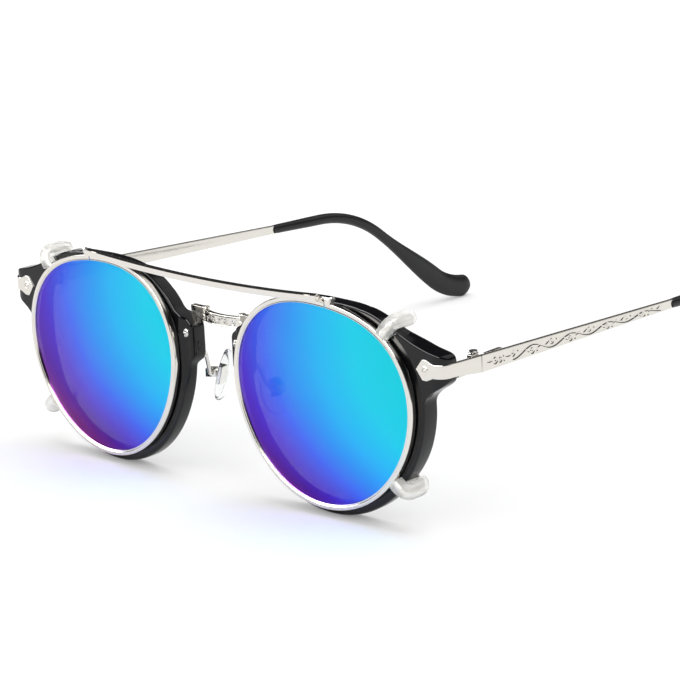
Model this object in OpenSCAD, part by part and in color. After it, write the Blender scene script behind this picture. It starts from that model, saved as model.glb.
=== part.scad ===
// Round sunglasses: a black plastic spectacle frame with metal temples, and a
// wire-rimmed mirrored clip-on that hooks over it with four rubber-sleeved claws.
// Millimetres. Z is up, the lenses face -Y, the wearer's left is +X.

/* [Lens outline] */
// Width of each lens opening
lens_w = 49.7; // [44:0.1:54]
// Height of each lens opening
lens_h = 46.8; // [42:0.1:50]
// Flattening of the outline's top, as a share of its radius
lens_panto = 0.034; // [0.02:0.001:0.045]
// Sweep of the outline towards the temple, as a share of its radius
lens_sweep = 0.010; // [0:0.001:0.02]
// Lean of the outline's upper nasal corner, as a share of its radius
lens_lean = 0.014; // [0:0.001:0.02]
// Squareness of the outline, as a share of its radius
lens_square = 0.007; // [0:0.001:0.012]
// Distance between the two lens centres
lens_pitch = 71.0; // [68:0.5:76]
// Angle by which each lens and temple turns in towards the head
wrap = 2.8; // [0:0.1:5]
// Radius of the lens surfaces
lens_curve = 190; // [150:5:260]

/* [Black frame] */
// Width of the rim wall seen from the front
rim_wall = 3.05; // [2.6:0.05:4]
// How much thinner that wall is at the middle of the top
rim_thin = 2.1; // [0:0.1:2.2]
// Thickness of the rim from front to back
rim_depth = 3.8; // [3.2:0.1:4.6]
// Thickness of the clear lens in the black rim
base_lens_t = 1.4; // [1:0.1:1.8]
// Depth of the lens grooves
groove = 0.6; // [0.4:0.05:0.8]
// Reach of the end piece beyond the rim
end_reach = 6.0; // [5:0.1:8]
// Height of the end piece at its outer face
end_h = 7.0; // [6:0.1:9]
// Depth of the end piece from front to back
end_depth = 5.0; // [4.6:0.1:7]
// Height of the end piece's middle above the lens centre
end_z = 11.6; // [10:0.1:13]
// Reach of the nasal lug beyond the rim
lug_reach = 1.4; // [1.2:0.1:2.4]
// Height of the nasal lug
lug_h = 8.7; // [8.4:0.1:11]
// Height of the nasal lug's lower end above the lens centre
lug_z = 2.0; // [1:0.1:2.4]
// Thickness of the nasal lug from front to back
lug_depth = 4.8; // [4.6:0.1:6]

/* [Bridge] */
// Height of the bridge band
bridge_h = 2.7; // [2:0.1:3.4]
// Thickness of the bridge band
bridge_t = 1.2; // [0.9:0.1:1.6]
// How far the middle of the bridge bows forward
bridge_bow = 1.3; // [0.6:0.1:2]
// Height of the bridge band's middle above the lens centre
bridge_z = 12.4; // [11.8:0.1:13]
// Radius of the bridge screws' shanks
bridge_screw_r = 0.6; // [0.45:0.05:0.7]
// Radius of the bridge screws' heads
bridge_head_r = 1.1; // [0.9:0.05:1.2]

/* [Nose pads] */
// Height of a nose pad
pad_h = 13; // [11:0.5:15]
// Width of a nose pad
pad_w = 7; // [6:0.25:8]
// Thickness of a nose pad
pad_t = 2.4; // [2:0.1:3]
// Radius of the pad arm's wire
arm_r = 0.5; // [0.4:0.05:0.6]
// Turn of the pad arm away from the nose
arm_turn = 28; // [22:1:32]
// Length of the pad arm's slanting run
arm_run = 4.4; // [3:0.1:5.5]
// Slope of that run
arm_slope = 70; // [55:1:80]
// Slope of the pads, their lower ends lying further apart
pad_tilt = 14; // [6:1:20]
// Radius of the pad screws
pad_screw_r = 0.4; // [0.3:0.05:0.45]

/* [End plates and hinges] */
// Thickness of the metal end plate
plate_t = 1.1; // [0.9:0.05:1.3]
// Height of the end plate's neck
neck_h = 3.2; // [2.6:0.1:3.6]
// Height of the pointed front of the end plate
spade_h = 4.8; // [4:0.1:5.4]
// Length of the pointed front of the end plate
spade_w = 4.6; // [4:0.1:5]
// How far the end plate stands proud of the black frame
plate_proud = 0.35; // [0.2:0.05:0.5]
// Outer radius of the end plate's bend
plate_bend = 3.2; // [2.4:0.1:4]
// Length of the end plate's run behind the black end piece
plate_run = 8.0; // [7:0.1:10]
// Radius of the hinge barrels
barrel_r = 1.15; // [1:0.05:1.3]
// Height of each outer hinge barrel
barrel_h = 1.25; // [1:0.05:1.4]
// Height of the middle hinge barrel on the temple
knuckle_h = 1.4; // [1.2:0.05:1.8]
// Radius of the hinge screw
hinge_screw_r = 0.6; // [0.5:0.05:0.7]
// Radius of the end plate's rivets
rivet_r = 0.5; // [0.4:0.05:0.6]

/* [Temples] */
// Height of the temple at the hinge
temple_h = 3.9; // [3.4:0.1:4.4]
// Height of the temple where the tip begins
temple_end_h = 2.1; // [1.8:0.1:2.3]
// Length of the bare metal part of the temple
temple_len = 72.6; // [60:0.5:85]
// Downward slope of the temple
temple_drop = 3.1; // [2:0.1:4.5]
// Radius of the core wire inside the tip
core_r = 0.6; // [0.4:0.05:0.65]
// Straight length of the tip before the ear bend
tip_straight = 17; // [12:0.5:24]
// Angle of the ear bend
ear_bend = 36.4; // [30:0.2:42]
// Radius of the ear bend
ear_r = 37; // [30:1:44]
// Angle by which the tip's end turns back towards level
tail_bend = 30; // [22:1:34]
// Radius of the turn at the tip's end
tail_r = 20; // [16:1:26]
// Height of the tip along its slim part
tip_h = 2.75; // [2.5:0.05:3.2]
// Height of the tip at its paddle end
paddle_h = 6.0; // [5:0.1:7]
// Thickness of the tip
tip_t = 2.5; // [2.2:0.1:3]

/* [Clip-on] */
// Width of the clip-on's wire rim seen from the front
clip_wall = 1.2; // [1.1:0.05:1.5]
// Thickness of the clip-on's wire rim from front to back
clip_depth = 1.7; // [1.6:0.1:1.9]
// Thickness of the mirrored lens
clip_lens_t = 0.8; // [0.6:0.05:0.9]
// Gap between the clip-on and the black frame
clip_gap = 0.3; // [0.25:0.05:0.6]
// Height of the brow bar
bar_h = 1.7; // [1.4:0.1:2]
// Thickness of the brow bar from front to back
bar_t = 1.0; // [0.8:0.1:1.3]
// Rise of the brow bar from its middle to its ends
bar_rise = 1.5; // [1.2:0.1:3]
// How far the brow bar stands above the clip-on's rims
bar_lift = 0.5; // [0:0.1:1.2]
// Place of the rim's closing slit outside the lens centre
close_x = 2.4; // [1:0.1:4]
// Radius of the closing screws
clip_screw_r = 0.4; // [0.3:0.05:0.45]

/* [Claws] */
// Radius of the claw wire
claw_r = 0.6; // [0.5:0.05:0.7]
// Outer radius of the rubber sleeve
sleeve_r = 1.75; // [1.4:0.05:1.9]
// Angle of the upper claws above the lens's widest line
claw_up = 44.5; // [43:0.5:48]
// Angle of the lower claws below the lens's widest line
claw_low = 38; // [34:1:44]
// Radius of the claw's bends
claw_bend = 2.3; // [2:0.1:2.6]
// Gap between sleeve and black rim
claw_gap = 0.2; // [0.15:0.05:0.4]
// Inward turn of the upper claws' ends
hook_up = 28; // [15:1:40]
// Inward turn of the lower claws' ends
hook_low = 84; // [70:1:90]
// Length of wire after the claw's last bend
hook_len = 1.2; // [0.8:0.1:2]

/* [Fits] */
// Clearance between pieces that are assembled and stay put
fit = 0.02; // [0.01:0.005:0.04]
// Radial clearance of a turning pin in its bore
pin_fit = 0.05; // [0.02:0.01:0.08]
// Gap between faces that move past each other
side_gap = 0.15; // [0.1:0.01:0.2]

/* [Hidden] */

// Sides: 1 is the wearer's left, -1 the wearer's right
SIDES = [1, -1];
outline_steps = 96;
ring_steps = 16;
cut = 1;

// Radius of the lens outline at angle t, and its slope, counted from the temple side upwards
lens_mean = (lens_w + lens_h) / 4;
lens_wide = (lens_w - lens_h) / (lens_w + lens_h);
function lens_r(t) = lens_mean * (1 + lens_wide * cos(2 * t) - lens_lean * sin(2 * t)
  + lens_sweep * cos(3 * t) + lens_panto * sin(3 * t) - lens_square * cos(4 * t));
function lens_slope(t) = lens_mean * (-2 * lens_wide * sin(2 * t) - 2 * lens_lean * cos(2 * t)
  - 3 * lens_sweep * sin(3 * t) + 3 * lens_panto * cos(3 * t) + 4 * lens_square * sin(4 * t));

// Point of the outline at angle t, moved out by d along its normal
function lens_pt(t, d) = let (
    r = lens_r(t),
    s = lens_slope(t),
    tx = s * cos(t) - r * sin(t),
    tz = s * sin(t) + r * cos(t),
    n = sqrt(tx * tx + tz * tz)
  ) [r * cos(t) + d * tz / n, r * sin(t) - d * tx / n];
function outline(d) = [for (i = [0:outline_steps - 1]) lens_pt(i * 360 / outline_steps, d)];
function rim_edge(t) = rim_wall - rim_thin * pow(max(0, sin(t)), 3);
function rim_outline(gap) =
  [for (i = [0:outline_steps - 1]) let (t = i * 360 / outline_steps) lens_pt(t, rim_edge(t) + gap)];
function lowest(d) = min([for (p = outline(d)) p[1]]);
function outermost(d) = max([for (p = outline(d)) p[0]]);
function innermost(d) = min([for (p = outline(d)) p[0]]);
function arc(cx, cy, r, a0, a1, n = 8) =
  [for (i = [0:n]) let (a = a0 + (a1 - a0) * i / n) [cx + r * cos(a), cy + r * sin(a)]];

// Levels, in the frame of one lens: x outwards, y back, z up from the lens centre
eye_x = lens_pitch / 2;
eye_z = -lowest(rim_wall);
rim_front = clip_depth + clip_gap;
rim_back = rim_front + rim_depth;
rim_x = outermost(rim_wall);
nasal_x = innermost(rim_wall);
end_x = rim_x + end_reach;
end_back = rim_front + end_depth;
end_round = plate_bend - plate_proud;
lug_x = nasal_x - lug_reach;
lug_back = rim_front + lug_depth;

// End plate, a strip bent round the end piece
plate_out = end_x + plate_proud;
plate_in = plate_out - plate_t;
plate_front = rim_front - plate_proud;
plate_end = end_back + plate_run;
spade_x = rim_x + 0.9;
spade_tip = spade_x - spade_w / 2;
plate_z = end_z - 0.2;

// Hinge
hinge_x = plate_in - side_gap - 0.1 - barrel_r;
hinge_y = plate_end + 0.3;
hinge_z = plate_z - 1.1;
stack_h = 2 * barrel_h + knuckle_h + 2 * side_gap;
stack_z = hinge_z + 0.2;
leaf_t = 0.8;
leaf_gap = 1.2;
leaf_edge = 0.3;
temple_leaf = 6;
slot_w = 0.25;

// Temple and tip, along a line that drops from the hinge
core_x = (plate_in + plate_out) / 2;
core_start = temple_len - 2;
core_tail = 12;
tip_y = temple_len;
bend_y = tip_y + tip_straight;
steep = temple_drop + ear_bend;
level = steep - tail_bend;
bend_drop = bend_y * sin(temple_drop) + ear_r * (cos(temple_drop) - cos(steep));
tail_drop = tail_r * (cos(level) - cos(steep));
end_len = 1.0;
tail_len = (eye_z + hinge_z - bend_drop - tail_drop - paddle_h / 2 - end_len * sin(level)) / sin(steep);
tip_reach = bend_y * cos(temple_drop) + ear_r * (sin(steep) - sin(temple_drop)) + tail_len * cos(steep)
  + tail_r * (sin(steep) - sin(level)) + end_len * cos(level);

// Brow bar: it lies against the rims where it crosses them, and they lean forward there
bar_cross = 123;
bar_front = bar_t + fit - lens_pt(bar_cross, clip_wall)[0] * sin(wrap);

// Whole object from front to back, and the shift that centres it
y_front = -bar_front;
y_rear = (hinge_y + tip_reach) * cos(wrap) + core_x * sin(wrap) + paddle_h / 2;
y_mid = (y_front + y_rear) / 2;

// Frame of one lens, mirrored for the wearer's right
module eye(side) {
  mirror([side < 0 ? 1 : 0, 0, 0])
    translate([eye_x, -y_mid, eye_z])
      rotate([0, 0, wrap])
        children();
}

// Prism of a front-view outline from y0 back to y1
module prism(pts, y0, y1) {
  translate([0, y1, 0])
    rotate([90, 0, 0])
      linear_extrude(y1 - y0)
        polygon(pts);
}

module outline_prism(d, y0, y1) {
  prism(outline(d), y0, y1);
}

// Lens blank: a domed disc whose front lies at y = front at radius edge
function dome_y(r, edge) = sqrt(pow(lens_curve, 2) - pow(edge, 2)) - sqrt(pow(lens_curve, 2) - pow(r, 2));
module dome(edge, front, t) {
  n = 8;
  far = edge * 1.15;
  rotate([-90, 0, 0])
    rotate_extrude($fn = outline_steps)
      polygon(concat(
        [for (i = [0:n]) let (r = far * i / n) [r, front + dome_y(r, edge)]],
        [for (i = [n:-1:0]) let (r = far * i / n) [r, front + t + dome_y(r, edge)]]
      ));
}

// Groove that takes a domed lens: its edge lies further forward where the outline is narrow
edge_ahead = -dome_y(min([for (p = outline(0)) norm(p)]), lens_mean);
edge_behind = dome_y(max([for (p = outline(groove)) norm(p)]), lens_mean);
module lens_groove(y, t) {
  outline_prism(groove + fit, y, y + t + edge_ahead + edge_behind + 2 * fit);
}
module lens_in_groove(y, t) {
  intersection() {
    outline_prism(groove - pin_fit, y - lens_mean, y + t + cut);
    dome(lens_mean, y + fit + edge_ahead, t);
  }
}

// Route of a wire in the YZ plane: legs of [straight length, bend radius, bend angle],
// where a positive angle turns it down. Each station is [y, z, heading below level]
bend_step = 15;
function ahead(p, len) = [p[0] + len * cos(p[2]), p[1] - len * sin(p[2]), p[2]];
function turned(p, r, a) = let (s = a < 0 ? -r : r) [
    p[0] + s * (sin(p[2] + a) - sin(p[2])),
    p[1] - s * (cos(p[2]) - cos(p[2] + a)),
    p[2] + a
  ];
function legs_from(p, legs, i) = i >= len(legs) ? [] : let (
    leg = legs[i],
    q = ahead(p, leg[0]),
    n = ceil(abs(leg[2]) / bend_step)
  ) concat(
    [q],
    [for (k = [1:1:n]) turned(q, leg[1], leg[2] * k / n)],
    legs_from(turned(q, leg[1], leg[2]), legs, i + 1)
  );
function route(y, legs) = concat([[y, 0, 0]], legs_from([y, 0, 0], legs, 0));

// Ring of points round a station, half height h and half thickness t
function ring(p, h, t) = [for (k = [0:ring_steps - 1]) let (a = k * 360 / ring_steps)
  [t * cos(a), p[0] + h * sin(a) * sin(p[2]), p[1] + h * sin(a) * cos(p[2])]];
function rings(stations, r) = [for (p = stations) ring(p, r, r)];
function reversed(v) = [for (i = [len(v) - 1:-1:0]) v[i]];

// Closed solid through a chain of rings
module chain(all) {
  n = ring_steps;
  last = len(all) - 1;
  polyhedron(
    points = [for (r = all) each r],
    faces = concat(
      [[for (k = [n - 1:-1:0]) k]],
      [for (j = [0:last - 1], k = [0:n - 1])
        [j * n + k, j * n + (k + 1) % n, (j + 1) * n + (k + 1) % n, (j + 1) * n + k]],
      [[for (k = [0:n - 1]) last * n + k]]
    )
  );
}

// Black eye rim with its end piece and nasal lug
lens_seat_y = rim_front + 1.0;
module end_piece() {
  intersection() {
    prism([
      [rim_x - 8, end_z - 1],
      [rim_x - 7.4, end_z + 5.2],
      [rim_x - 5.8, end_z + 6.2],
      [rim_x + 0.5, end_z + 5.0],
      [end_x, end_z + end_h / 2],
      [end_x, end_z - end_h / 2],
      [end_x - 3, end_z - end_h / 2 - 1.2],
      [rim_x + 0.5, end_z - end_h / 2 - 3.4],
      [rim_x - 1.2, end_z - end_h / 2 - 7],
      [rim_x - 5, end_z - end_h / 2 - 3]
    ], rim_front, end_back);
    translate([0, 0, end_z - 20])
      linear_extrude(40)
        polygon(concat(
          [[rim_x - 10, rim_front]],
          arc(end_x - end_round, rim_front + end_round, end_round, -90, 0),
          [[end_x, end_back], [rim_x + 1, end_back], [rim_x - 1, rim_back], [rim_x - 10, rim_back]]
        ));
  }
}
module nasal_lug() {
  lug_round = 1.2;
  intersection() {
    prism([
      [lug_x, lug_z],
      [nasal_x + 1, lug_z - 4],
      [nasal_x + 2.9, lug_z],
      [nasal_x + 2.9, lug_z + lug_h],
      [nasal_x + 3.6, lug_z + lug_h + 3],
      [nasal_x + 2.4, lug_z + lug_h + 3],
      [lug_x, lug_z + lug_h]
    ], rim_front, lug_back);
    translate([0, 0, lug_z - 10])
      linear_extrude(lug_h + 20)
        polygon(concat(
          arc(lug_x + lug_round, rim_front + lug_round, lug_round, 180, 270),
          [[nasal_x + 6, rim_front], [nasal_x + 6, rim_back], [nasal_x + 2.4, lug_back], [lug_x, lug_back]]
        ));
  }
}
module rim_body() {
  difference() {
    union() {
      prism(rim_outline(0), rim_front, rim_back);
      end_piece();
      nasal_lug();
    }
    outline_prism(0, rim_front - cut, end_back + cut);
    lens_groove(lens_seat_y, base_lens_t);
    end_plate_strip(fit);
    rivet_shanks();
    bridge_screw_shape(0, bridge_screw_r);
    pad_base_screw_shape();
  }
}

// Metal end plate: pointed front, neck, and a strip back to the hinge
module end_plate_strip(grow) {
  neck = neck_h / 2 + grow;
  spade = spade_h / 2 + grow;
  intersection() {
    linear_extrude(60, center = true)
      polygon(concat(
        [[spade_tip - 1, plate_front]],
        arc(plate_out - plate_bend, plate_front + plate_bend, plate_bend, -90, 0),
        [[plate_out, plate_end], [plate_in - grow, plate_end]],
        arc(plate_out - plate_bend, plate_front + plate_bend, plate_bend - plate_t - grow, 0, -90),
        [[spade_tip - 1, plate_front + plate_t + grow]]
      ));
    union() {
      prism([
        [spade_tip - grow, plate_z],
        [spade_x - 0.6, plate_z + spade],
        [spade_x + 0.6, plate_z + spade],
        [spade_x + spade_w / 2, plate_z + neck],
        [plate_out + cut, plate_z + neck],
        [plate_out + cut, plate_z - neck],
        [spade_x + spade_w / 2, plate_z - neck],
        [spade_x + 0.6, plate_z - spade],
        [spade_x - 0.6, plate_z - spade]
      ], plate_front - cut, plate_front + plate_bend);
      rotate([90, 0, 90])
        linear_extrude(plate_out + cut)
          polygon([
            [plate_front + plate_bend, plate_z - neck],
            [plate_front + plate_bend, plate_z + neck],
            [end_back, plate_z + neck - 0.2],
            [plate_end, hinge_z + temple_h / 2],
            [plate_end, hinge_z - temple_h / 2],
            [end_back, plate_z - neck - 0.2]
          ]);
    }
  }
}
module hinge_bore(r) {
  translate([hinge_x, hinge_y, stack_z - stack_h])
    cylinder(r = r, h = 2 * stack_h, $fn = 48);
}
module barrel(z, h) {
  translate([hinge_x, hinge_y, z])
    cylinder(r = barrel_r, h = h, $fn = 48);
}
module front_hinge() {
  low = stack_z - stack_h / 2;
  high = stack_z + stack_h / 2 - barrel_h;
  translate([plate_in - leaf_t, end_back + leaf_gap, hinge_z - temple_h / 2 + leaf_edge])
    cube([leaf_t, plate_end - end_back - 2 * leaf_gap, temple_h - 2 * leaf_edge]);
  for (z = [low, high]) {
    barrel(z, barrel_h);
    translate([hinge_x, hinge_y - barrel_r - leaf_gap, z])
      cube([plate_in - hinge_x, barrel_r + leaf_gap - leaf_edge, barrel_h]);
  }
}
module end_plate(side) {
  color("silver")
    eye(side)
      difference() {
        union() {
          end_plate_strip(0);
          front_hinge();
        }
        hinge_bore(hinge_screw_r);
        rivet_shanks();
      }
}

// Rivet through the pointed front
rivet_len = 2.6;
module rivet_shanks() {
  translate([spade_x, plate_front + rivet_len, plate_z])
    rotate([90, 0, 0])
      cylinder(r = rivet_r, h = rivet_len, $fn = 32);
}
module end_plate_rivets() {
  color("gainsboro")
    for (side = SIDES)
      eye(side) {
        rivet_shanks();
        translate([spade_x, plate_front, plate_z])
          rotate([90, 0, 0])
            cylinder(r1 = rivet_r + 0.35, r2 = rivet_r, h = 0.15, $fn = 32);
      }
}

// Screw that turns the temple, held by the outer barrels
module hinge_screw(side) {
  color("gainsboro")
    eye(side)
      translate([hinge_x, hinge_y, stack_z - stack_h / 2]) {
        cylinder(r = hinge_screw_r, h = stack_h, $fn = 48);
        translate([0, 0, stack_h])
          difference() {
            cylinder(r = hinge_screw_r + 0.35, h = 0.45, $fn = 48);
            translate([-cut, -slot_w / 2, 0.25])
              cube([2 * cut, slot_w, cut]);
          }
      }
}

module rim(side) {
  color("#1c1c1e")
    eye(side)
      rim_body();
}

module base_lens(side) {
  color("#dfe9ee", 0.4)
    eye(side)
      lens_in_groove(lens_seat_y, base_lens_t);
}

// Bridge: a bowed band with a foot behind each nasal lug
foot_t = 1.4;
foot_w = 3.4;
foot_rise = 5.0;
foot_low = lug_z + foot_rise;
scroll_r = 0.9;
scroll_y = lug_back + scroll_r + fit;
screw_x = lug_x + 1.9;
screw_z = lug_z + lug_h - 1.9;
band_x = eye_x + (lug_x - 0.2) * cos(wrap) - scroll_y * sin(wrap);
band_y = (lug_x - 0.2) * sin(wrap) + scroll_y * cos(wrap);
band_r = (band_x * band_x + bridge_bow * bridge_bow) / (2 * bridge_bow);
module bridge_screw_shape(grow, r) {
  translate([screw_x, lug_back + foot_t - 0.2, screw_z])
    rotate([90, 0, 0])
      cylinder(r = r + grow, h = lug_depth + foot_t - 0.4, $fn = 48);
  translate([screw_x, rim_front + 0.6 + grow, screw_z])
    rotate([90, 0, 0])
      cylinder(r = bridge_head_r + grow, h = 0.75, $fn = 48);
}
module bridge() {
  half = asin(band_x / band_r);
  color("silver") {
    translate([0, band_y - bridge_bow + band_r - y_mid, eye_z + bridge_z - bridge_h / 2])
      rotate([0, 0, 270 - half])
        rotate_extrude(angle = 2 * half, $fn = 180)
          translate([band_r - bridge_t / 2, 0])
            square([bridge_t, bridge_h]);
    for (side = SIDES)
      eye(side)
        difference() {
          union() {
            translate([lug_x - 0.2, scroll_y, bridge_z - bridge_h / 2])
              cylinder(r = scroll_r, h = bridge_h + 0.7, $fn = 48);
            translate([lug_x, lug_back, foot_low])
              cube([foot_w, foot_t, bridge_z + bridge_h / 2 - foot_low]);
          }
          bridge_screw_shape(0, bridge_screw_r);
        }
  }
}
module bridge_screws() {
  color("gainsboro")
    for (side = SIDES)
      eye(side)
        difference() {
          bridge_screw_shape(0, bridge_screw_r);
          translate([screw_x - 2 * cut, rim_front - cut, screw_z - slot_w / 2])
            cube([4 * cut, cut + 0.1, slot_w]);
        }
}

// Nose pad arm: a small plate screwed behind the lug, a cranked wire and a box for the pad
base_t = 0.7;
base_w = 2.2;
base_z = lug_z + 1.9;
base_x = lug_x + 1.7;
arm_z = lug_z + 0.8;
arm_start = 0.5;
arm_end = 0.2;
crank_r = 2;
crank_end_r = 1.5;
cheek_in = 0.55;
cheek_out = 1.15;
box_h = 2;
arm_along = arm_start + (crank_r + crank_end_r) * sin(arm_slope) + arm_run * cos(arm_slope)
  + arm_end + cheek_out;
arm_down = (crank_r + crank_end_r) * (1 - cos(arm_slope)) + arm_run * sin(arm_slope);
module arm_frame() {
  translate([base_x, lug_back + base_t, arm_z])
    rotate([0, 0, -arm_turn])
      children();
}
module pad_frame() {
  arm_frame()
    translate([0, arm_along, -arm_down])
      children();
}
module pad_base_screw_shape() {
  translate([base_x, lug_back + base_t, base_z + 1])
    rotate([90, 0, 0])
      cylinder(r = pad_screw_r, h = 3.4, $fn = 32);
}
module pad_screw_bore(r) {
  translate([0, 2, 0])
    rotate([90, 0, 0])
      cylinder(r = r, h = 4, $fn = 32);
}
module pad_arm(side) {
  color("silver")
    eye(side)
      difference() {
        union() {
          translate([base_x - base_w / 2, lug_back, base_z - 1])
            cube([base_w, base_t, 2]);
          for (z = [-1, 1])
            translate([base_x, lug_back + base_t, base_z + z])
              rotate([90, 0, 0])
                cylinder(r = base_w / 2, h = base_t, $fn = 32);
          arm_frame()
            chain(rings(route(-0.3, [
              [arm_start + 0.3, crank_r, arm_slope],
              [arm_run, crank_end_r, -arm_slope],
              [arm_end + 0.1, 0, 0]
            ]), arm_r));
          pad_frame() {
            for (y = [-cheek_out, cheek_in])
              translate([-0.9, y, -box_h / 2])
                cube([2.6, cheek_out - cheek_in, box_h]);
            translate([1.1, -cheek_out, -box_h / 2])
              cube([0.6, 2 * cheek_out, box_h]);
          }
        }
        pad_base_screw_shape();
        pad_frame()
          pad_screw_bore(pad_screw_r);
      }
}
module pad_base_screws() {
  color("gainsboro")
    for (side = SIDES)
      eye(side) {
        pad_base_screw_shape();
        translate([base_x, lug_back + base_t, base_z + 1])
          rotate([-90, 0, 0])
            cylinder(r = 0.75, h = 0.4, $fn = 32);
      }
}
module pad_screws() {
  color("gainsboro")
    for (side = SIDES)
      eye(side)
        pad_frame() {
          translate([0, cheek_out, 0])
            rotate([90, 0, 0])
              cylinder(r = pad_screw_r, h = 2 * cheek_out, $fn = 32);
          translate([0, cheek_out, 0])
            rotate([-90, 0, 0])
              cylinder(r = 0.7, h = 0.35, $fn = 32);
        }
}

// Insert: a plate sunk in the pad's back, and a tab that turns on the pad screw
pad_back = -1.7;
insert_t = 0.5;
insert_w = 2.6;
insert_h = 4.2;
tab_t = 2 * (cheek_in - side_gap);
tab_r = 0.9;
module pad_turned(side) {
  eye(side)
    pad_frame()
      rotate([0, -pad_tilt, 0])
        children();
}
module pad_insert(side) {
  color("silver")
    pad_turned(side)
      difference() {
        union() {
          translate([pad_back - insert_t, -insert_w / 2, -insert_h / 2])
            cube([insert_t, insert_w, insert_h]);
          translate([pad_back - 0.1, -tab_t / 2, -0.7])
            cube([-pad_back + 0.1, tab_t, 1.4]);
          translate([0, tab_t / 2, 0])
            rotate([90, 0, 0])
              cylinder(r = tab_r, h = tab_t, $fn = 48);
        }
        pad_screw_bore(pad_screw_r + pin_fit);
      }
}
module pad_slice(x, w, h) {
  translate([x, 0, 0])
    rotate([90, 0, -90])
      linear_extrude(0.2)
        scale([w / 2, h / 2])
          circle(r = 1, $fn = 32);
}
module nose_pad(side) {
  color("#e8eef0", 0.6)
    pad_turned(side)
      difference() {
        hull() {
          pad_slice(pad_back, pad_w * 0.9, pad_h * 0.93);
          pad_slice(pad_back - pad_t * 0.35, pad_w, pad_h);
          pad_slice(pad_back - pad_t + 0.2, pad_w * 0.62, pad_h * 0.7);
        }
        translate([pad_back - insert_t - fit, -insert_w / 2 - fit, -insert_h / 2 - fit])
          cube([insert_t + 1, insert_w + 2 * fit, insert_h + 2 * fit]);
      }
}

// Temple: a tapering blade, its hinge barrel, and the core wire that the tip is pushed on
module temple_line() {
  translate([0, hinge_y, hinge_z])
    rotate([-temple_drop, 0, 0])
      children();
}
module core_wire(r, stop) {
  translate([core_x, 0, 0])
    chain(rings(route(core_start, [[bend_y - core_start, ear_r, ear_bend], [stop, 0, 0]]), r));
}
module temple(side) {
  knuckle_z = stack_z - knuckle_h / 2;
  color("silver")
    eye(side) {
      difference() {
        union() {
          temple_line()
            translate([plate_in, 0, 0])
              rotate([90, 0, 90])
                linear_extrude(plate_t)
                  polygon([
                    [side_gap - 0.3, -temple_h / 2],
                    [side_gap - 0.3, temple_h / 2],
                    [temple_len, temple_end_h / 2],
                    [temple_len, -temple_end_h / 2]
                  ]);
          barrel(knuckle_z, knuckle_h);
          translate([hinge_x, hinge_y, knuckle_z])
            cube([plate_in - hinge_x + leaf_edge, temple_leaf - leaf_gap, knuckle_h]);
          translate([plate_in - leaf_t, hinge_y + 2.2, hinge_z - temple_h / 2 + leaf_edge])
            cube([leaf_t + leaf_edge, temple_leaf, temple_h - 2 * leaf_edge]);
          temple_line()
            core_wire(core_r, core_tail);
        }
        hinge_bore(hinge_screw_r + pin_fit);
      }
    }
}

// Tip: an oval sleeve that follows the ear bend and widens to a rounded paddle
paddle_r = paddle_h / 2;
paddle_t = tip_t * 0.56;
tip_start = [temple_len, 0, 0];
ear_start = ahead(tip_start, tip_straight);
ear_end = turned(ear_start, ear_r, ear_bend);
tail_end = ahead(ear_end, tail_len);
level_end = turned(tail_end, tail_r, -tail_bend);
cap_centre = ahead(level_end, end_len);
function grow(a, b, u) = let (v = max(0, min(1, u))) a + (b - a) * v * v * (3 - 2 * v);
tip_rings = concat(
  [for (i = [0:3]) let (u = i / 3)
    ring(ahead(tip_start, u * tip_straight), grow(temple_end_h / 2 + 0.15, tip_h / 2, u),
      grow(tip_t * 0.42, tip_t / 2, u))],
  [for (i = [1:6]) ring(turned(ear_start, ear_r, ear_bend * i / 6), tip_h / 2, tip_t / 2)],
  [for (i = [1:5]) let (u = i / 5)
    ring(ahead(ear_end, u * tail_len), grow(tip_h / 2, paddle_r * 0.97, u * 1.05 - 0.05),
      grow(tip_t / 2, paddle_t, u))],
  [for (i = [1:4]) ring(turned(tail_end, tail_r, -tail_bend * i / 4),
    grow(paddle_r * 0.97, paddle_r, i / 4), paddle_t)],
  [for (i = [0:6]) let (a = i * 14)
    ring(ahead(cap_centre, paddle_r * sin(a)), paddle_r * cos(a), paddle_t * sqrt(cos(a)))]
);
module temple_tip(side) {
  color("#202022")
    eye(side)
      temple_line()
        difference() {
          translate([core_x, 0, 0])
            chain(tip_rings);
          core_wire(core_r + fit, core_tail + fit);
        }
}

// Clip-on rim: a grooved ring, slit at the top and drawn shut by a small screw
close_t = 90 - asin(close_x / lens_r(90));
close_top = lens_pt(close_t, clip_wall)[1];
slit = 0.3;
ear_w = 1.6;
ear_y = clip_depth - 0.2;
clip_screw_z = close_top + bar_h / 2 - 0.05;
clip_screw_y = ear_y - 0.85;
clip_seat_y = 0.25;
module clip_screw_shape(r) {
  translate([close_x - slit / 2 - ear_w + 0.1, clip_screw_y, clip_screw_z])
    rotate([0, 90, 0])
      cylinder(r = r, h = 2 * ear_w + slit - 0.1, $fn = 32);
}
module clip_rim(side) {
  color("#e6e2d8")
    eye(side)
      difference() {
        union() {
          difference() {
            outline_prism(clip_wall, 0, clip_depth);
            outline_prism(0, -cut, clip_depth + cut);
            lens_groove(clip_seat_y, clip_lens_t);
            translate([close_x - slit / 2, -cut, close_top - clip_wall - 1])
              cube([slit, clip_depth + 2 * cut, clip_wall + 3]);
          }
          translate([close_x + slit / 2, ear_y - 1.7, close_top - 0.4])
            cube([ear_w, 1.7, bar_h + 0.4]);
        }
        clip_screw_shape(clip_screw_r + fit);
      }
}
module clip_lens(side) {
  color("#2a7fd8")
    eye(side)
      lens_in_groove(clip_seat_y, clip_lens_t);
}
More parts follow.
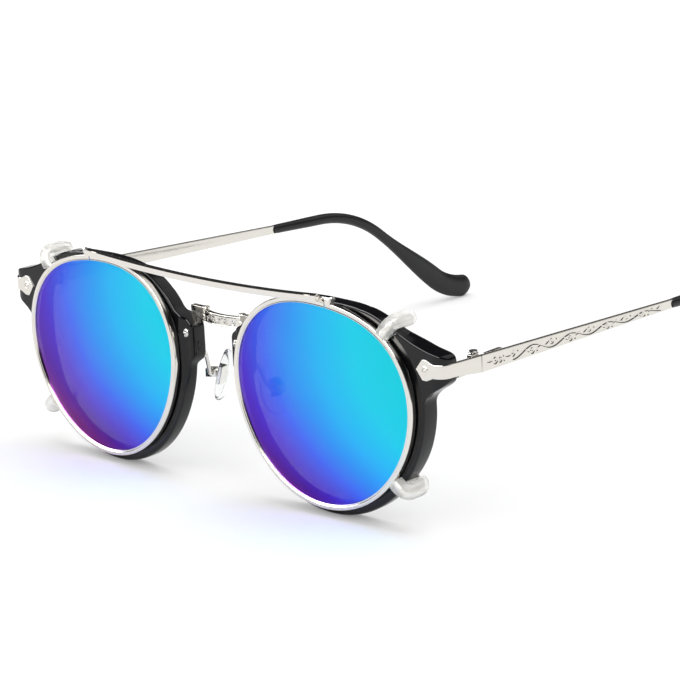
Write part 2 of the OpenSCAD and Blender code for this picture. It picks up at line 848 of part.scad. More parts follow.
module clip_screws() {
  color("gainsboro")
    for (side = SIDES)
      eye(side) {
        clip_screw_shape(clip_screw_r);
        translate([close_x + slit / 2 + ear_w, clip_screw_y, clip_screw_z])
          rotate([0, 90, 0])
            difference() {
              cylinder(r = 0.75, h = 0.4, $fn = 32);
              translate([-cut, -slot_w / 2, 0.2])
                cube([2 * cut, slot_w, cut]);
            }
      }
}

// Brow bar: a shallow arc soldered to the inner halves of both closings
bar_x = eye_x + (close_x - slit / 2 - ear_w / 2) * cos(wrap);
bar_z = eye_z + close_top + bar_h / 2 + bar_lift;
bar_r = (bar_x * bar_x + bar_rise * bar_rise) / (2 * bar_rise);
module brow_bar() {
  half = asin(bar_x / bar_r);
  color("#e6e2d8") {
    translate([0, bar_t - bar_front - y_mid, bar_z - bar_rise + bar_r])
      rotate([90, 0, 0])
        rotate([0, 0, 270 - half])
          rotate_extrude(angle = 2 * half, $fn = 720)
            translate([bar_r - bar_h / 2, 0])
              square([bar_h, bar_t]);
    for (side = SIDES)
      eye(side)
        difference() {
          translate([close_x - slit / 2 - ear_w, -bar_front + 0.1, close_top - 0.6])
            cube([ear_w, bar_front - 0.1 + ear_y, bar_h + bar_lift + 0.6]);
          outline_prism(clip_wall, -5, 5);
          clip_screw_shape(clip_screw_r);
        }
  }
}

// Claws: wire hooks on the clip-on's rim, each under a clear rubber sleeve that flattens
// where it rests on the front of the black rim
claw_y = clip_depth / 2;
claw_root = clip_wall + fit;
sleeve_cap = 0.6;
function facing(t) = t - atan2(lens_slope(t), lens_r(t));
function claw_route(from, t, hook, tail) = route(from, [
  [rim_edge(t) + claw_gap + sleeve_r - claw_bend - from, claw_bend, 90],
  [hook > 45
    ? rim_back + claw_gap + sleeve_r - claw_bend * sin(hook) - claw_y - claw_bend
    : rim_back + 0.2 - claw_y - claw_bend, claw_bend, hook],
  [tail, 0, 0]
]);
module claw_place(side, t) {
  root = lens_pt(t, 0);
  eye(side)
    translate([root[0], claw_y, root[1]])
      rotate([0, 90 - facing(t), 0])
        rotate([90, 0, 0])
          children();
}
module claw(side, t, hook) {
  color("#d8d6d0")
    claw_place(side, t)
      chain(rings(claw_route(claw_root, t, hook, hook_len), claw_r));
}
module claw_sleeve(side, t, hook) {
  sleeve_root = claw_root + 0.35;
  color("#f2f3f1", 0.6)
    difference() {
      claw_place(side, t)
        chain(concat(
          reversed(rings(claw_route(sleeve_root, t, hook, hook_len + 0.05), claw_r + fit)),
          rings(claw_route(sleeve_root, t, hook, hook_len + sleeve_cap), sleeve_r)
        ));
      eye(side)
        prism(rim_outline(claw_gap / 2), rim_front - claw_gap, rim_back + claw_gap / 2);
    }
}

rim(1);  // rim_left
rim(-1);  // rim_right
base_lens(1);  // base_lens_left
base_lens(-1);  // base_lens_right
bridge();
bridge_screws();
pad_arm(1);  // pad_arm_left
pad_arm(-1);  // pad_arm_right
pad_base_screws();
pad_screws();
pad_insert(1);  // pad_insert_left
pad_insert(-1);  // pad_insert_right
nose_pad(1);  // nose_pad_left
nose_pad(-1);  // nose_pad_right
end_plate(1);  // end_plate_left
end_plate(-1);  // end_plate_right
end_plate_rivets();
hinge_screw(1);  // hinge_screw_left
hinge_screw(-1);  // hinge_screw_right
temple(1);  // temple_left
temple(-1);  // temple_right
temple_tip(1);  // temple_tip_left
temple_tip(-1);  // temple_tip_right
brow_bar();
clip_rim(1);  // clip_rim_left
clip_rim(-1);  // clip_rim_right
clip_lens(1);  // clip_lens_left
clip_lens(-1);  // clip_lens_right
clip_screws();
claw(1, claw_up, hook_up);  // claw_upper_left
claw(-1, claw_up, hook_up);  // claw_upper_right
claw(1, -claw_low, hook_low);  // claw_lower_left
claw(-1, -claw_low, hook_low);  // claw_lower_right
claw_sleeve(1, claw_up, hook_up);  // claw_sleeve_upper_left
claw_sleeve(-1, claw_up, hook_up);  // claw_sleeve_upper_right
claw_sleeve(1, -claw_low, hook_low);  // claw_sleeve_lower_left
claw_sleeve(-1, -claw_low, hook_low);  // claw_sleeve_lower_right
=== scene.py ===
from math import asin, ceil, cos, hypot, pi, radians, sin, sqrt
import bmesh
import bpy
from mathutils import Matrix, Vector


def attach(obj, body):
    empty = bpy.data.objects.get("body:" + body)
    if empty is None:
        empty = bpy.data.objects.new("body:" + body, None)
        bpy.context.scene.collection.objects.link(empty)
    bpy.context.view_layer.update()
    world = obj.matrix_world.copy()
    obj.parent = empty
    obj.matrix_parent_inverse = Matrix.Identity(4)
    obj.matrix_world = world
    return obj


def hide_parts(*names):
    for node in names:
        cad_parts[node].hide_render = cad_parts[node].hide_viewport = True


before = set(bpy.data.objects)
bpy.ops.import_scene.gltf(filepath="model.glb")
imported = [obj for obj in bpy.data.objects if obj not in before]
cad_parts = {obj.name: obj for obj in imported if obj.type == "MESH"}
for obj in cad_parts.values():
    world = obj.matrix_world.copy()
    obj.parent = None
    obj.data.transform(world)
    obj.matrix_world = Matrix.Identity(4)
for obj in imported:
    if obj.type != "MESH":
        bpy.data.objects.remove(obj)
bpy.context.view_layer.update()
scene = bpy.context.scene
scene.view_settings.view_transform = "Standard"

# The photographer's table: a white sweep that keeps a soft shadow under the rims and tips, a
# long lens to the wearer's left, and a tent that is bright at its sides and dark overhead.
# Only glossy finishes mirror the tent, its strip light high in front and its flap high behind.


class Link:
    """A socket in a formula: arithmetic on it adds the Math nodes that work it out."""

    def __init__(self, shader, socket):
        self.shader, self.socket = shader, socket

    def math(self, operation, *values):
        return self.shader.node("Math", {"operation": operation}, dict(enumerate(values)))

    def __add__(self, other):
        return self.math("ADD", self, other)

    def __radd__(self, other):
        return self.math("ADD", other, self)

    def __sub__(self, other):
        return self.math("SUBTRACT", self, other)

    def __rsub__(self, other):
        return self.math("SUBTRACT", other, self)

    def __mul__(self, other):
        return self.math("MULTIPLY", self, other)

    def __rmul__(self, other):
        return self.math("MULTIPLY", other, self)

    def __truediv__(self, other):
        return self.math("DIVIDE", self, other)

    def least(self, other):
        return self.math("MINIMUM", self, other)

    def most(self, other):
        return self.math("MAXIMUM", self, other)

    def share(self):
        return self.least(1).most(0)


class Shader:
    """The nodes of one finish, or of the tent round the table."""

    def __init__(self, holder):
        holder.use_nodes = True
        self.holder, self.tree = holder, holder.node_tree

    def node(self, kind, settings, inputs, output=0):
        made = self.tree.nodes.new("ShaderNode" + kind)
        for name, value in settings.items():
            if name == "stops":
                ramp = made.color_ramp
                while len(ramp.elements) < len(value):
                    ramp.elements.new(0.5)
                for stop, (at, tone) in zip(ramp.elements, value):
                    stop.position, stop.color = at, (*tone, 1)
            else:
                setattr(made, name, value)
        self.plug(made, inputs)
        return Link(self, made.outputs[output])

    def plug(self, made, inputs):
        for name, value in inputs.items():
            if isinstance(value, Link):
                self.tree.links.new(value.socket, made.inputs[name])
            else:
                made.inputs[name].default_value = value

    def blend(self, share, a, b):
        pair = {6: a if isinstance(a, Link) else (*a, 1), 7: b if isinstance(b, Link) else (*b, 1)}
        return self.node("Mix", {"data_type": "RGBA"}, {0: share, **pair}, 2)

    def surface(self, inputs):
        self.plug(self.tree.nodes["Principled BSDF"], inputs)

    def place(self, scale=(1, 1, 1)):
        """Object coordinates, stretched, so that a pattern has its size in the shared frame."""
        spot = self.node("TexCoord", {}, {}, "Object")
        return self.node("Mapping", {"vector_type": "POINT"}, {"Vector": spot, "Scale": scale})

    def noise(self, scale, detail=3.0, stretch=(1, 1, 1)):
        return self.node("TexNoise", {}, {"Vector": self.place(stretch), "Scale": scale, "Detail": detail})

    def bump(self, height, depth, strength=1.0):
        return self.node("Bump", {}, {"Height": height, "Distance": depth, "Strength": strength})


def finish(name):
    """A new procedural material."""
    return Shader(bpy.data.materials.new(name))


AZIMUTH, ELEVATION, ROLL = radians(43.635), radians(16.053), radians(-2.845)
LENS_SPOT = Vector((0.555587, -0.618119, 0.256692))
FOCAL_PX, PHOTO_PX, SENSOR_MM, CLIP_END = 3503.3, 680, 36, 20
FLOOR_TONE, FLOOR_GLOW, FAR_GLOW, FAR_FROM, FAR_OVER = 0.78, 0.18, 2.2, 0.13, 0.3
back = Vector((sin(AZIMUTH) * cos(ELEVATION), -cos(AZIMUTH) * cos(ELEVATION), sin(ELEVATION)))
level = Vector((cos(AZIMUTH), sin(AZIMUTH), 0))
upright = back.cross(level)
across = cos(ROLL) * level + sin(ROLL) * upright
above = cos(ROLL) * upright - sin(ROLL) * level
lens = bpy.data.cameras.new("photo_camera")
lens.lens, lens.sensor_width, lens.clip_end = FOCAL_PX / PHOTO_PX * SENSOR_MM, SENSOR_MM, CLIP_END
camera = bpy.data.objects.new("photo_camera", lens)
camera.matrix_world = Matrix.Translation(LENS_SPOT) @ Matrix((across, above, back)).transposed().to_4x4()
scene.collection.objects.link(camera)
scene.camera = camera

sweep = finish("white_sweep")
seen = sweep.node("LightPath", {}, {}, "Is Camera Ray")
through = sweep.node("LightPath", {}, {}, "Is Transmission Ray")
distance = sweep.node("VectorMath", {"operation": "LENGTH"}, {0: sweep.place()}, "Value")
paler = sweep.blend(((distance - FAR_FROM) / FAR_OVER).share(), (1, 1, 1), (FAR_GLOW,) * 3)
sweep.surface({"Base Color": (*(FLOOR_TONE,) * 3, 1), "Roughness": 0.9, "Specular IOR Level": 0.0,
               "Emission Color": paler, "Emission Strength": (seen + through).share() * FLOOR_GLOW})
bm = bmesh.new()
bmesh.ops.create_grid(bm, x_segments=2, y_segments=2, size=2.5)
mesh = bpy.data.meshes.new("table")
bm.to_mesh(mesh)
bm.free()
mesh.materials.append(sweep.holder)
table = bpy.data.objects.new("table", mesh)
scene.collection.objects.link(table)

tent = Shader(scene.world or bpy.data.worlds.new("tent"))
scene.world = tent.holder
toward = tent.node("TexCoord", {}, {}, "Generated")
height = tent.node("SeparateXYZ", {}, {"Vector": toward}, "Z")
WALL_STOPS = [(0.0, (0.85, 0.85, 0.85)), (0.04, (0.85, 0.85, 0.85)), (0.14, (0.03, 0.03, 0.032)),
              (1.0, (0.02, 0.02, 0.022))]
FLAP_WAY, FLAP_FROM, FLAP_SOFT, FLAP_TONE = (0.2, 0.68, 0.7), 0.9, 0.05, (0.7, 0.69, 0.67)
STRIP_PLANE, STRIP_HALF, STRIP_SOFT = (0.288, 0.764, 0.577), 0.34, 0.08
STRIP_WAY, STRIP_FROM, STRIP_FADE, STRIP_TONE = (-0.26, -0.49, 0.83), 0.6, 0.1, (8, 8, 8)
DIFFUSE_CUT = 0.15
wall = tent.node("ValToRGB", {"stops": WALL_STOPS}, {0: height})


def aligned(way):
    """How near a direction lies to one way out of the tent: 1 along it, 0 across it."""
    pair = {0: toward, 1: Vector(way).normalized()}
    return tent.node("VectorMath", {"operation": "DOT_PRODUCT"}, pair, "Value")


flap = ((aligned(FLAP_WAY) - FLAP_FROM) / FLAP_SOFT).share()
off_strip = aligned(STRIP_PLANE)
strip = ((STRIP_HALF - off_strip.math("ABSOLUTE", off_strip)) / STRIP_SOFT).share()
strip = strip * ((aligned(STRIP_WAY) - STRIP_FROM) / STRIP_FADE).share()
mirrored = tent.node("LightPath", {}, {}, "Is Glossy Ray")
reflected = tent.blend(strip, tent.blend(flap, wall, FLAP_TONE), STRIP_TONE)
tent.plug(tent.tree.nodes["Background"],
          {"Color": tent.blend(mirrored, (1, 1, 1), reflected),
           "Strength": 1 - DIFFUSE_CUT * tent.node("LightPath", {}, {}, "Is Diffuse Ray")})


def softbox(name, place, aim, size, power):
    """A round lamp that faces what it is aimed at."""
    lamp = bpy.data.lights.new(name, "AREA")
    lamp.shape, lamp.size, lamp.energy = "DISK", size, power
    holder = bpy.data.objects.new(name, lamp)
    holder.location = place
    holder.rotation_euler = (Vector(aim) - Vector(place)).to_track_quat("-Z", "Y").to_euler()
    scene.collection.objects.link(holder)
    return holder


overhead = softbox("overhead_softbox", (0.1, 0.1, 0.9), (0, 0, 0), 0.8, 3.0)
overhead.visible_glossy = False
key = softbox("front_softbox", (-0.5, -0.7, 0.5), (0, -0.05, 0.03), 0.5, 1.0)
key.visible_glossy = False

# Black eye rims: moulded plastic, tumbled glossy, each in one piece with the end piece
# at its temple side and the lug at its nose side. Everything else is fixed to them.
EYE = (35.5, -79.8691, 27.1014)
WRAP = radians(2.8)
LENS_MEAN, LENS_WIDE = 24.125, 2.9 / 96.5
LENS_LEAN, LENS_SWEEP, LENS_PANTO, LENS_SQUARE = 0.014, 0.010, 0.034, 0.007
RIM_WALL, RIM_THIN, RIM_FRONT, RIM_BACK, RIM_X = 3.05, 2.1, 2.0, 5.8, 28.03
END_X, END_Z, END_H, END_BACK, END_ROUND = 34.03, 11.6, 7.0, 7.0, 2.85
NASAL_X, LUG_X, LUG_Z, LUG_H, LUG_BACK, LUG_ROUND, LUG_SET = -27.69, -29.09, 2.0, 8.7, 6.8, 0.7, 1.0
LUG_DEEPER, THIN_FROM, THIN_OVER, NOSE_THIN = 0.5, radians(42), radians(48), 0.8
TURN_FROM, END_TILL, LUG_FROM, LUG_TILL, FINE_TURN, COARSE_TURN = -25.0, 62, 138, 196, 0.3, 1.2
SMOOTHINGS = 30
FROM_MM = Matrix.Diagonal((0.001, 0.001, 0.001, 1))
SIDES = {1: "left", -1: "right"}


def lens_edge(t, out=0.0):
    """Point at angle t round one lens, out mm outside its edge, and the way out from it: x, z."""
    r = LENS_MEAN * (1 + LENS_WIDE * cos(2 * t) - LENS_LEAN * sin(2 * t) + LENS_SWEEP * cos(3 * t)
                     + LENS_PANTO * sin(3 * t) - LENS_SQUARE * cos(4 * t))
    s = LENS_MEAN * (-2 * LENS_WIDE * sin(2 * t) - 2 * LENS_LEAN * cos(2 * t) - 3 * LENS_SWEEP * sin(3 * t)
                     + 3 * LENS_PANTO * cos(3 * t) + 4 * LENS_SQUARE * sin(4 * t))
    tx, tz = s * cos(t) - r * sin(t), s * sin(t) + r * cos(t)
    n = hypot(tx, tz)
    return Vector((r * cos(t) + out * tz / n, r * sin(t) - out * tx / n)), Vector((tz / n, -tx / n))


def rim_edge(t):
    """Width of the moulding at angle t: it thins over the top, most of all towards the nose."""
    over = max(0.0, sin(t))
    thinner = ease((t - THIN_FROM) / THIN_OVER) if t < pi / 2 else over ** 3
    return RIM_WALL - RIM_THIN * thinner - NOSE_THIN * over * max(0.0, -sin(2 * t))


def ease(share):
    """Smooth step from 0 to 1."""
    share = min(max(share, 0.0), 1.0)
    return share * share * (3 - 2 * share)


def reach(corners, start, way):
    """How far a line from start runs before it leaves a front-view outline, or 0 if it misses it."""
    far = 0.0
    for a, b in zip(corners, corners[1:] + corners[:1]):
        run = Vector(b) - Vector(a)
        turn = way.x * run.y - way.y * run.x
        if abs(turn) > 1e-9:
            gap = Vector(a) - start
            along = (gap.x * run.y - gap.y * run.x) / turn
            share = (gap.x * way.y - gap.y * way.x) / turn
            if 0 <= share <= 1:
                far = max(far, along)
    return far


def skin(rows, joined=False, capped=True):
    """A skin through rows of points: a ring of edges at the first, extruded to each next one."""
    bm = bmesh.new()
    number = bm.verts.layers.int.new("number")
    for k, vert in enumerate(bmesh.ops.create_circle(bm, segments=len(rows[0]))["verts"]):
        vert[number] = k
        vert.co = rows[0][k]
    edges = bm.edges[:]
    for row in rows[1:] + (rows[:1] if joined else []):
        grown = bmesh.ops.extrude_edge_only(bm, edges=edges)["geom"]
        for vert in grown:
            if isinstance(vert, bmesh.types.BMVert):
                vert.co = row[vert[number]]
        edges = [e for e in grown if isinstance(e, bmesh.types.BMEdge) and e.is_boundary]
    bm.verts.layers.int.remove(number)
    bmesh.ops.remove_doubles(bm, verts=bm.verts, dist=1e-4)
    if capped and not joined:
        bmesh.ops.edgeloop_fill(bm, edges=[e for e in bm.edges if e.is_boundary])
    return bm


def beside(side):
    """From the frame of one lens, in mm, to the shared frame, in metres."""
    return (Matrix.Diagonal((side * 0.001, 0.001, 0.001, 1)) @ Matrix.Translation(EYE)
            @ Matrix.Rotation(WRAP, 4, "Z"))


def piece(name, bm, place, body, look, stands_for=(), sharp=38):
    """One visible piece: placed, shaded, on its body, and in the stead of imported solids."""
    bmesh.ops.transform(bm, matrix=place, verts=bm.verts)
    bmesh.ops.recalc_face_normals(bm, faces=bm.faces)
    mesh = bpy.data.meshes.new(name)
    bm.to_mesh(mesh)
    bm.free()
    mesh.shade_smooth()
    mesh.set_sharp_from_angle(angle=radians(sharp))
    mesh.materials.append(look.holder)
    made = bpy.data.objects.new(name, mesh)
    scene.collection.objects.link(made)
    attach(made, body)
    if stands_for:
        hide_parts(*stands_for)
    return made


gloss_black = finish("tumbled_black_plastic")
film = gloss_black.noise(900, 4)
ripple = gloss_black.bump(gloss_black.noise(260, 2), 0.00004, 0.25)
gloss_black.surface({
    "Base Color": gloss_black.blend(film, (0.002, 0.002, 0.003), (0.005, 0.005, 0.006)),
    "Roughness": 0.07 + film * 0.08, "IOR": 1.43, "Normal": ripple})

end_low, lug_top = END_Z - END_H / 2, LUG_Z + LUG_H
end_outline = [(RIM_X - 8, END_Z - 1), (RIM_X - 9.2, END_Z + 7.4), (RIM_X - 8.0, END_Z + 7.9),
               (RIM_X - 5.6, END_Z + 6.7), (RIM_X - 2.6, END_Z + 5.3), (RIM_X + 1.6, END_Z + 3.9),
               (END_X, END_Z + END_H / 2 - 0.4), (END_X, end_low), (END_X - 3, end_low - 1.2),
               (RIM_X + 0.5, end_low - 3.4), (RIM_X - 1.2, end_low - 7), (RIM_X - 5, end_low - 3)]
lug_outline = [(LUG_X, LUG_Z + 1), (NASAL_X + 1, LUG_Z - 2.4), (NASAL_X + 2.9, LUG_Z),
               (NASAL_X + 2.9, lug_top), (NASAL_X + 3.6, lug_top + 3), (NASAL_X + 2.4, lug_top + 3),
               (LUG_X, lug_top)]


def rim_turns():
    """Angles round the rim, closer together at the end piece and the lug."""
    t, turns = TURN_FROM, []
    while t < TURN_FROM + 360:
        turns.append(radians(t))
        t += FINE_TURN if t < END_TILL or LUG_FROM < t < LUG_TILL else COARSE_TURN
    return turns


turns = rim_turns()
edges = [lens_edge(t) for t in turns]
walls = [max(rim_edge(t), reach(end_outline, at, way), reach(lug_outline, at, way))
         for t, (at, way) in zip(turns, edges)]
for _ in range(SMOOTHINGS):
    walls = [(walls[k - 1] + 2 * walls[k] + walls[(k + 1) % len(walls)]) / 4 for k in range(len(walls))]


def rim_front(x):
    """How far back the front lies at x: rolled at the corner and the lug's edge, and set back on the lug."""
    bend = min(max(x - END_X + END_ROUND, 0), END_ROUND)
    curl = min(max(LUG_X + LUG_ROUND - x, 0), LUG_ROUND)
    set_back = LUG_SET * ease((NASAL_X + 1.6 - x) / 1.4)
    return (RIM_FRONT + END_ROUND - sqrt(END_ROUND ** 2 - bend ** 2) + set_back
            + LUG_ROUND - sqrt(LUG_ROUND ** 2 - curl ** 2))


def rim_back(x, extra):
    """How far back the moulding reaches at x, deeper at the end piece and on the lug."""
    if x > 0:
        return RIM_BACK + (END_BACK - RIM_BACK) * ease((x - RIM_X + 7.5) / 6)
    return RIM_BACK + (LUG_BACK + LUG_DEEPER - RIM_BACK) * ease((NASAL_X + 6 - x) / 3.6) * ease(extra / 0.8)


def rim_row(share, inset, down, behind):
    """One ring of the moulding: a share of the wall's width, then in and down by shares of the round."""
    row = []
    for t, (at, way), wall in zip(turns, edges, walls):
        bend = 0.5 if behind else 0.5 + 0.7 * max(0.0, -sin(t)) ** 2
        spot = at + way * max(0.0, share * wall - inset * bend)
        y = rim_back(spot.x, wall - RIM_WALL) - down * bend if behind else rim_front(spot.x) + down * bend
        row.append(Vector((spot.x, y, spot.y)))
    return row


rolls = [(1 - sin(a), 1 - cos(a)) for a in (0, pi / 10, pi / 5, 3 * pi / 10, 2 * pi / 5, pi / 2)]
rim_rows = [rim_row(0, 0, 0.5, False), rim_row(0.03, 0, 0.15, False), rim_row(0.1, 0, 0, False)]
rim_rows += [rim_row(s, s, 0, False) for s in (0.3, 0.5, 0.65, 0.76, 0.85, 0.92, 0.97)]
rim_rows += [rim_row(1, inset, down, False) for inset, down in rolls]
rim_rows += [rim_row(1, inset, down, True) for inset, down in reversed(rolls)]
rim_rows += [rim_row(0.5, 0.4, 0, True), rim_row(0.1, 0, 0, True)]
rim_rows += [rim_row(0.03, 0, 0.2, True), rim_row(0, 0, 0.6, True)]
rim = skin(rim_rows, joined=True)
for side, word in SIDES.items():
    piece("eye_rim_" + word, rim.copy(), beside(side), "front", gloss_black,
          ["rim_" + word])

# Clear lenses: thin domed plastic, edged to the outline and sprung into the rims' grooves.
# The mirrored lenses of the clip-on are cut from the same kind of blank further down.
LENS_CURVE, GROOVE, LENS_PLAY, LENS_EDGE = 190.0, 0.6, 0.05, 0.1
LENS_RINGS = (0, 0.08, 0.2, 0.35, 0.5, 0.65, 0.8, 0.9, 0.97, 0.995)
BASE_LENS_Y, BASE_LENS_T = 3.168, 1.4


def dome(x, z):
    """How far behind its edge ring a point of a lens lies: below 0 within it, as the dome bulges forward."""
    r = hypot(x, z)
    return sqrt(LENS_CURVE ** 2 - LENS_MEAN ** 2) - sqrt(LENS_CURVE ** 2 - r ** 2)


def lens_blank(y, t, out, steps=144):
    """Both faces of a domed lens, from the middle of the front round the edge to the middle of the back."""
    outline = [lens_edge(2 * pi * k / steps, out)[0] for k in range(steps)]

    def ring(share, start):
        return [Vector((p.x * share, start + dome(p.x * share, p.y * share), p.y * share)) for p in outline]

    rows = [ring(share, y) for share in LENS_RINGS] + [ring(1, y + LENS_EDGE), ring(1, y + t - LENS_EDGE)]
    return skin(rows + [ring(share, y + t) for share in reversed(LENS_RINGS)], capped=False)


clear_lens = finish("clear_lens_plastic")
haze = clear_lens.noise(300, 2)
clear_lens.surface({"Base Color": clear_lens.blend(haze, (0.97, 0.985, 0.99), (0.985, 0.99, 0.995)),
                    "Roughness": 0.01 + haze * 0.02, "IOR": 1.15, "Transmission Weight": 1.0})
base_lens = lens_blank(BASE_LENS_Y, BASE_LENS_T, GROOVE - LENS_PLAY)
for side, word in SIDES.items():
    piece("clear_lens_" + word, base_lens.copy(), beside(side), "front",
          clear_lens, ["base_lens_" + word])

# Bridge: a bowed nickel-silver band with a chased scroll, rolled into a grooved bead at each
# end and brazed to a foot that a screw through the lug pulls against the moulding.
BRIDGE_Z, BRIDGE_H, BRIDGE_T, BRIDGE_BOW = 12.4, 2.7, 1.2, 1.3
BAND_X, BAND_Y, BAND_R = 5.8631, 6.2797, 13.8714
ROLL_R, ROLL_Y = 0.9, LUG_BACK + 0.92
BAND_STEPS, SCROLL_STEP, SCROLL_DEPTH = 80, 2.0, 0.11


def metal(name, light, dark, rough, grain=(1, 1, 1)):
    """Polished white metal: faint drawn grain, and a warm film that dulls it in patches."""
    look = finish(name)
    drawn = look.noise(2600, 4, grain)
    patch = look.noise(180, 3)
    tone = look.blend((drawn * 0.5 + patch * 0.5).share(), dark, light)
    look.surface({"Base Color": tone, "Metallic": 1.0, "Roughness": rough + drawn * 0.05 + patch * 0.05,
                  "Normal": look.bump(drawn, 0.000012, 0.3)})
    return look


nickel = metal("polished_nickel_silver", (0.93, 0.9, 0.84), (0.8, 0.77, 0.71), 0.1, (1, 0.08, 1))
# A darker copy of the nickel silver: painted shade for the bridge feet, which sit in shadow behind the bar's
# ends.
shade_painted_nickel = metal("shade_painted_nickel_silver", (0.5, 0.48, 0.44), (0.34, 0.32, 0.29), 0.22)
screw_steel = metal("turned_screw_steel", (0.82, 0.81, 0.79), (0.6, 0.59, 0.57), 0.16)


def near(distance, width):
    """Depth of a graver's cut at a distance from its line, as a share."""
    return max(0.0, 1 - (distance / width) ** 2)


def swirl(u, v, r, width):
    """One curled tendril round (0, 0): a ring open to one side, with a dot in its middle."""
    d = hypot(u, v)
    open_side = 1.0 if u + 0.4 * v > -0.55 * r or v < 0 else 0.0
    return max(near(d - r, width) * open_side, near(d, width * 1.3))


def band_cut(along, v):
    """Depth of the chasing on the bridge band, in mm: a running scroll between two edge lines."""
    cut = 0.0
    for k in range(-2, 3):
        flip = 1 if k % 2 else -1
        cut = max(cut, swirl(along - SCROLL_STEP * k, flip * (v - 0.12 * flip), 0.52, 0.17))
        cut = max(cut, near(abs(v + flip * 0.62) + 0.35 * abs(along - SCROLL_STEP * k - 1.0), 0.2))
    return SCROLL_DEPTH * max(cut, 0.8 * near(abs(v) - 1.12, 0.1)) * (1 - ease((abs(along) - 4.6) / 0.4))


def plate_section(h, t, front_steps, corner=0.14):
    """Points round an upright section: (along its thickness from the outer face, up)."""
    points = [(0.0, h * (-1 + 2 * k / front_steps)) for k in range(front_steps + 1)]
    face = [(0.0, v * (h - corner) / h) for _, v in points]
    bevel = [(corner * (1 - cos(a)), corner * (sin(a) - 1) + h) for a in (pi / 6, pi / 3, pi / 2)]
    back_bevel = [(t - x, z) for x, z in reversed(bevel)]
    rear = [(t, h - corner), (t, 0.0), (t, corner - h)]
    return face + bevel + back_bevel + rear + [(x, -z) for x, z in reversed(back_bevel)] + \
        [(x, -z) for x, z in reversed(bevel)]


band_rows = []
half_band = asin(BAND_X / BAND_R)
for k in range(2 * BAND_STEPS + 1):
    a = half_band * (k / BAND_STEPS - 1)
    row = []
    for inward, v in plate_section(BRIDGE_H / 2, BRIDGE_T, 30):
        if inward == 0:
            inward = band_cut(a * BAND_R, v)
        r = BAND_R + BRIDGE_T / 2 - inward
        y = BAND_Y - BRIDGE_BOW + BAND_R - r * cos(a) + EYE[1]
        row.append(Vector((r * sin(a), y, EYE[2] + BRIDGE_Z + v)))
    band_rows.append(row)
piece("bridge_band", skin(band_rows), FROM_MM, "front", nickel, ["bridge"], sharp=50)


def turned(profile, steps=48):
    """A turned piece: its profile of (radius, height) swept once round Z."""
    angles = [2 * pi * k / steps for k in range(steps)]
    return skin([[Vector((r * cos(a), r * sin(a), z)) for a in angles] for r, z in profile])


def on_front(x, y, z):
    """Sets a turned piece on a front face, its top towards the viewer."""
    return Matrix.Translation((x, y, z)) @ Matrix.Rotation(pi / 2, 4, "X")


def slab(size, centre, edge=0.12, place=Matrix()):
    """A small plate or block with eased edges."""
    bm = bmesh.new()
    bmesh.ops.create_cube(bm, size=1)
    bmesh.ops.scale(bm, verts=bm.verts, vec=size)
    bmesh.ops.bevel(bm, geom=bm.edges[:], offset=edge, offset_type="OFFSET", segments=3, profile=0.5,
                    affect="EDGES", material=-1)
    bmesh.ops.translate(bm, verts=bm.verts, vec=centre)
    bmesh.ops.transform(bm, matrix=place, verts=bm.verts)
    return bm


def together(parts):
    """Several small solids of one brazed piece in one mesh."""
    whole = bmesh.new()
    for part in parts:
        mesh = bpy.data.meshes.new("part")
        part.to_mesh(mesh)
        part.free()
        whole.from_mesh(mesh)
        bpy.data.meshes.remove(mesh)
    return whole


bead = [(0.0, 0), (0.72, 0), (ROLL_R, 0.18), (ROLL_R, 0.55), (0.7, 0.68), (0.7, 0.8), (ROLL_R, 0.95),
        (ROLL_R, 1.5), (0.7, 1.65), (0.7, 1.8), (ROLL_R, 1.95), (ROLL_R, 2.5), (0.72, 2.62),
        (0.72, 2.74), (ROLL_R, 2.86), (ROLL_R, 3.25), (0.78, 3.4), (0.55, 3.4), (0.48, 3.15),
        (0.24, 3.15), (0.2, 3.4), (0.0, 3.4)]
foot_low, foot_top = LUG_Z + 5.0, BRIDGE_Z + BRIDGE_H / 2
foot_height, foot_middle = foot_top - foot_low, (foot_top + foot_low) / 2
for side, word in SIDES.items():
    bm = turned(bead)
    bmesh.ops.translate(bm, verts=bm.verts, vec=(LUG_X - 0.2, ROLL_Y, BRIDGE_Z - BRIDGE_H / 2))
    piece("bridge_bead_" + word, bm, beside(side), "front", nickel)
    # The feet take the darker nickel: painted shade, not a different metal.
    foot = [slab((2.1, 1.4, foot_height), (LUG_X + 2.35, LUG_BACK + 0.7, foot_middle), 0.25),
            slab((3.4, 1.3, BRIDGE_H), (LUG_X + 1.7, LUG_BACK + 0.75, BRIDGE_Z), 0.3),
            slab((4.3, 1.5, 1.5), (LUG_X + 1.95, LUG_BACK + 0.75, foot_top - 0.1), 0.2)]
    piece("bridge_foot_" + word, together(foot), beside(side), "front", shade_painted_nickel)


def dress(node, look):
    """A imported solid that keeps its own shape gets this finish."""
    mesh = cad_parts[node].data
    mesh.materials.clear()
    mesh.materials.append(look.holder)


HEAD = [(0, -0.1), (0.88, -0.1), (1.0, 0.05), (1.0, 0.25), (0.85, 0.42), (0.5, 0.52), (0.14, 0.54),
        (0, 0.54)]
SLOT_HALF, SLOT_DEPTH = 0.13, 0.25
head_place = on_front(LUG_X + 1.9, RIM_FRONT + LUG_SET, LUG_Z + LUG_H - 1.9)
for side, word in SIDES.items():
    head = turned(HEAD, 36)
    blade_slot = [vert for vert in head.verts if abs(vert.co.x) < SLOT_HALF and vert.co.z > 0.3]
    bmesh.ops.translate(head, verts=blade_slot, vec=(0, 0, -SLOT_DEPTH))
    bmesh.ops.transform(head, matrix=head_place, verts=head.verts)
    piece("bridge_screw_head_" + word, head, beside(side), "front", screw_steel,
          ["bridge_screws"] if side == 1 else ())

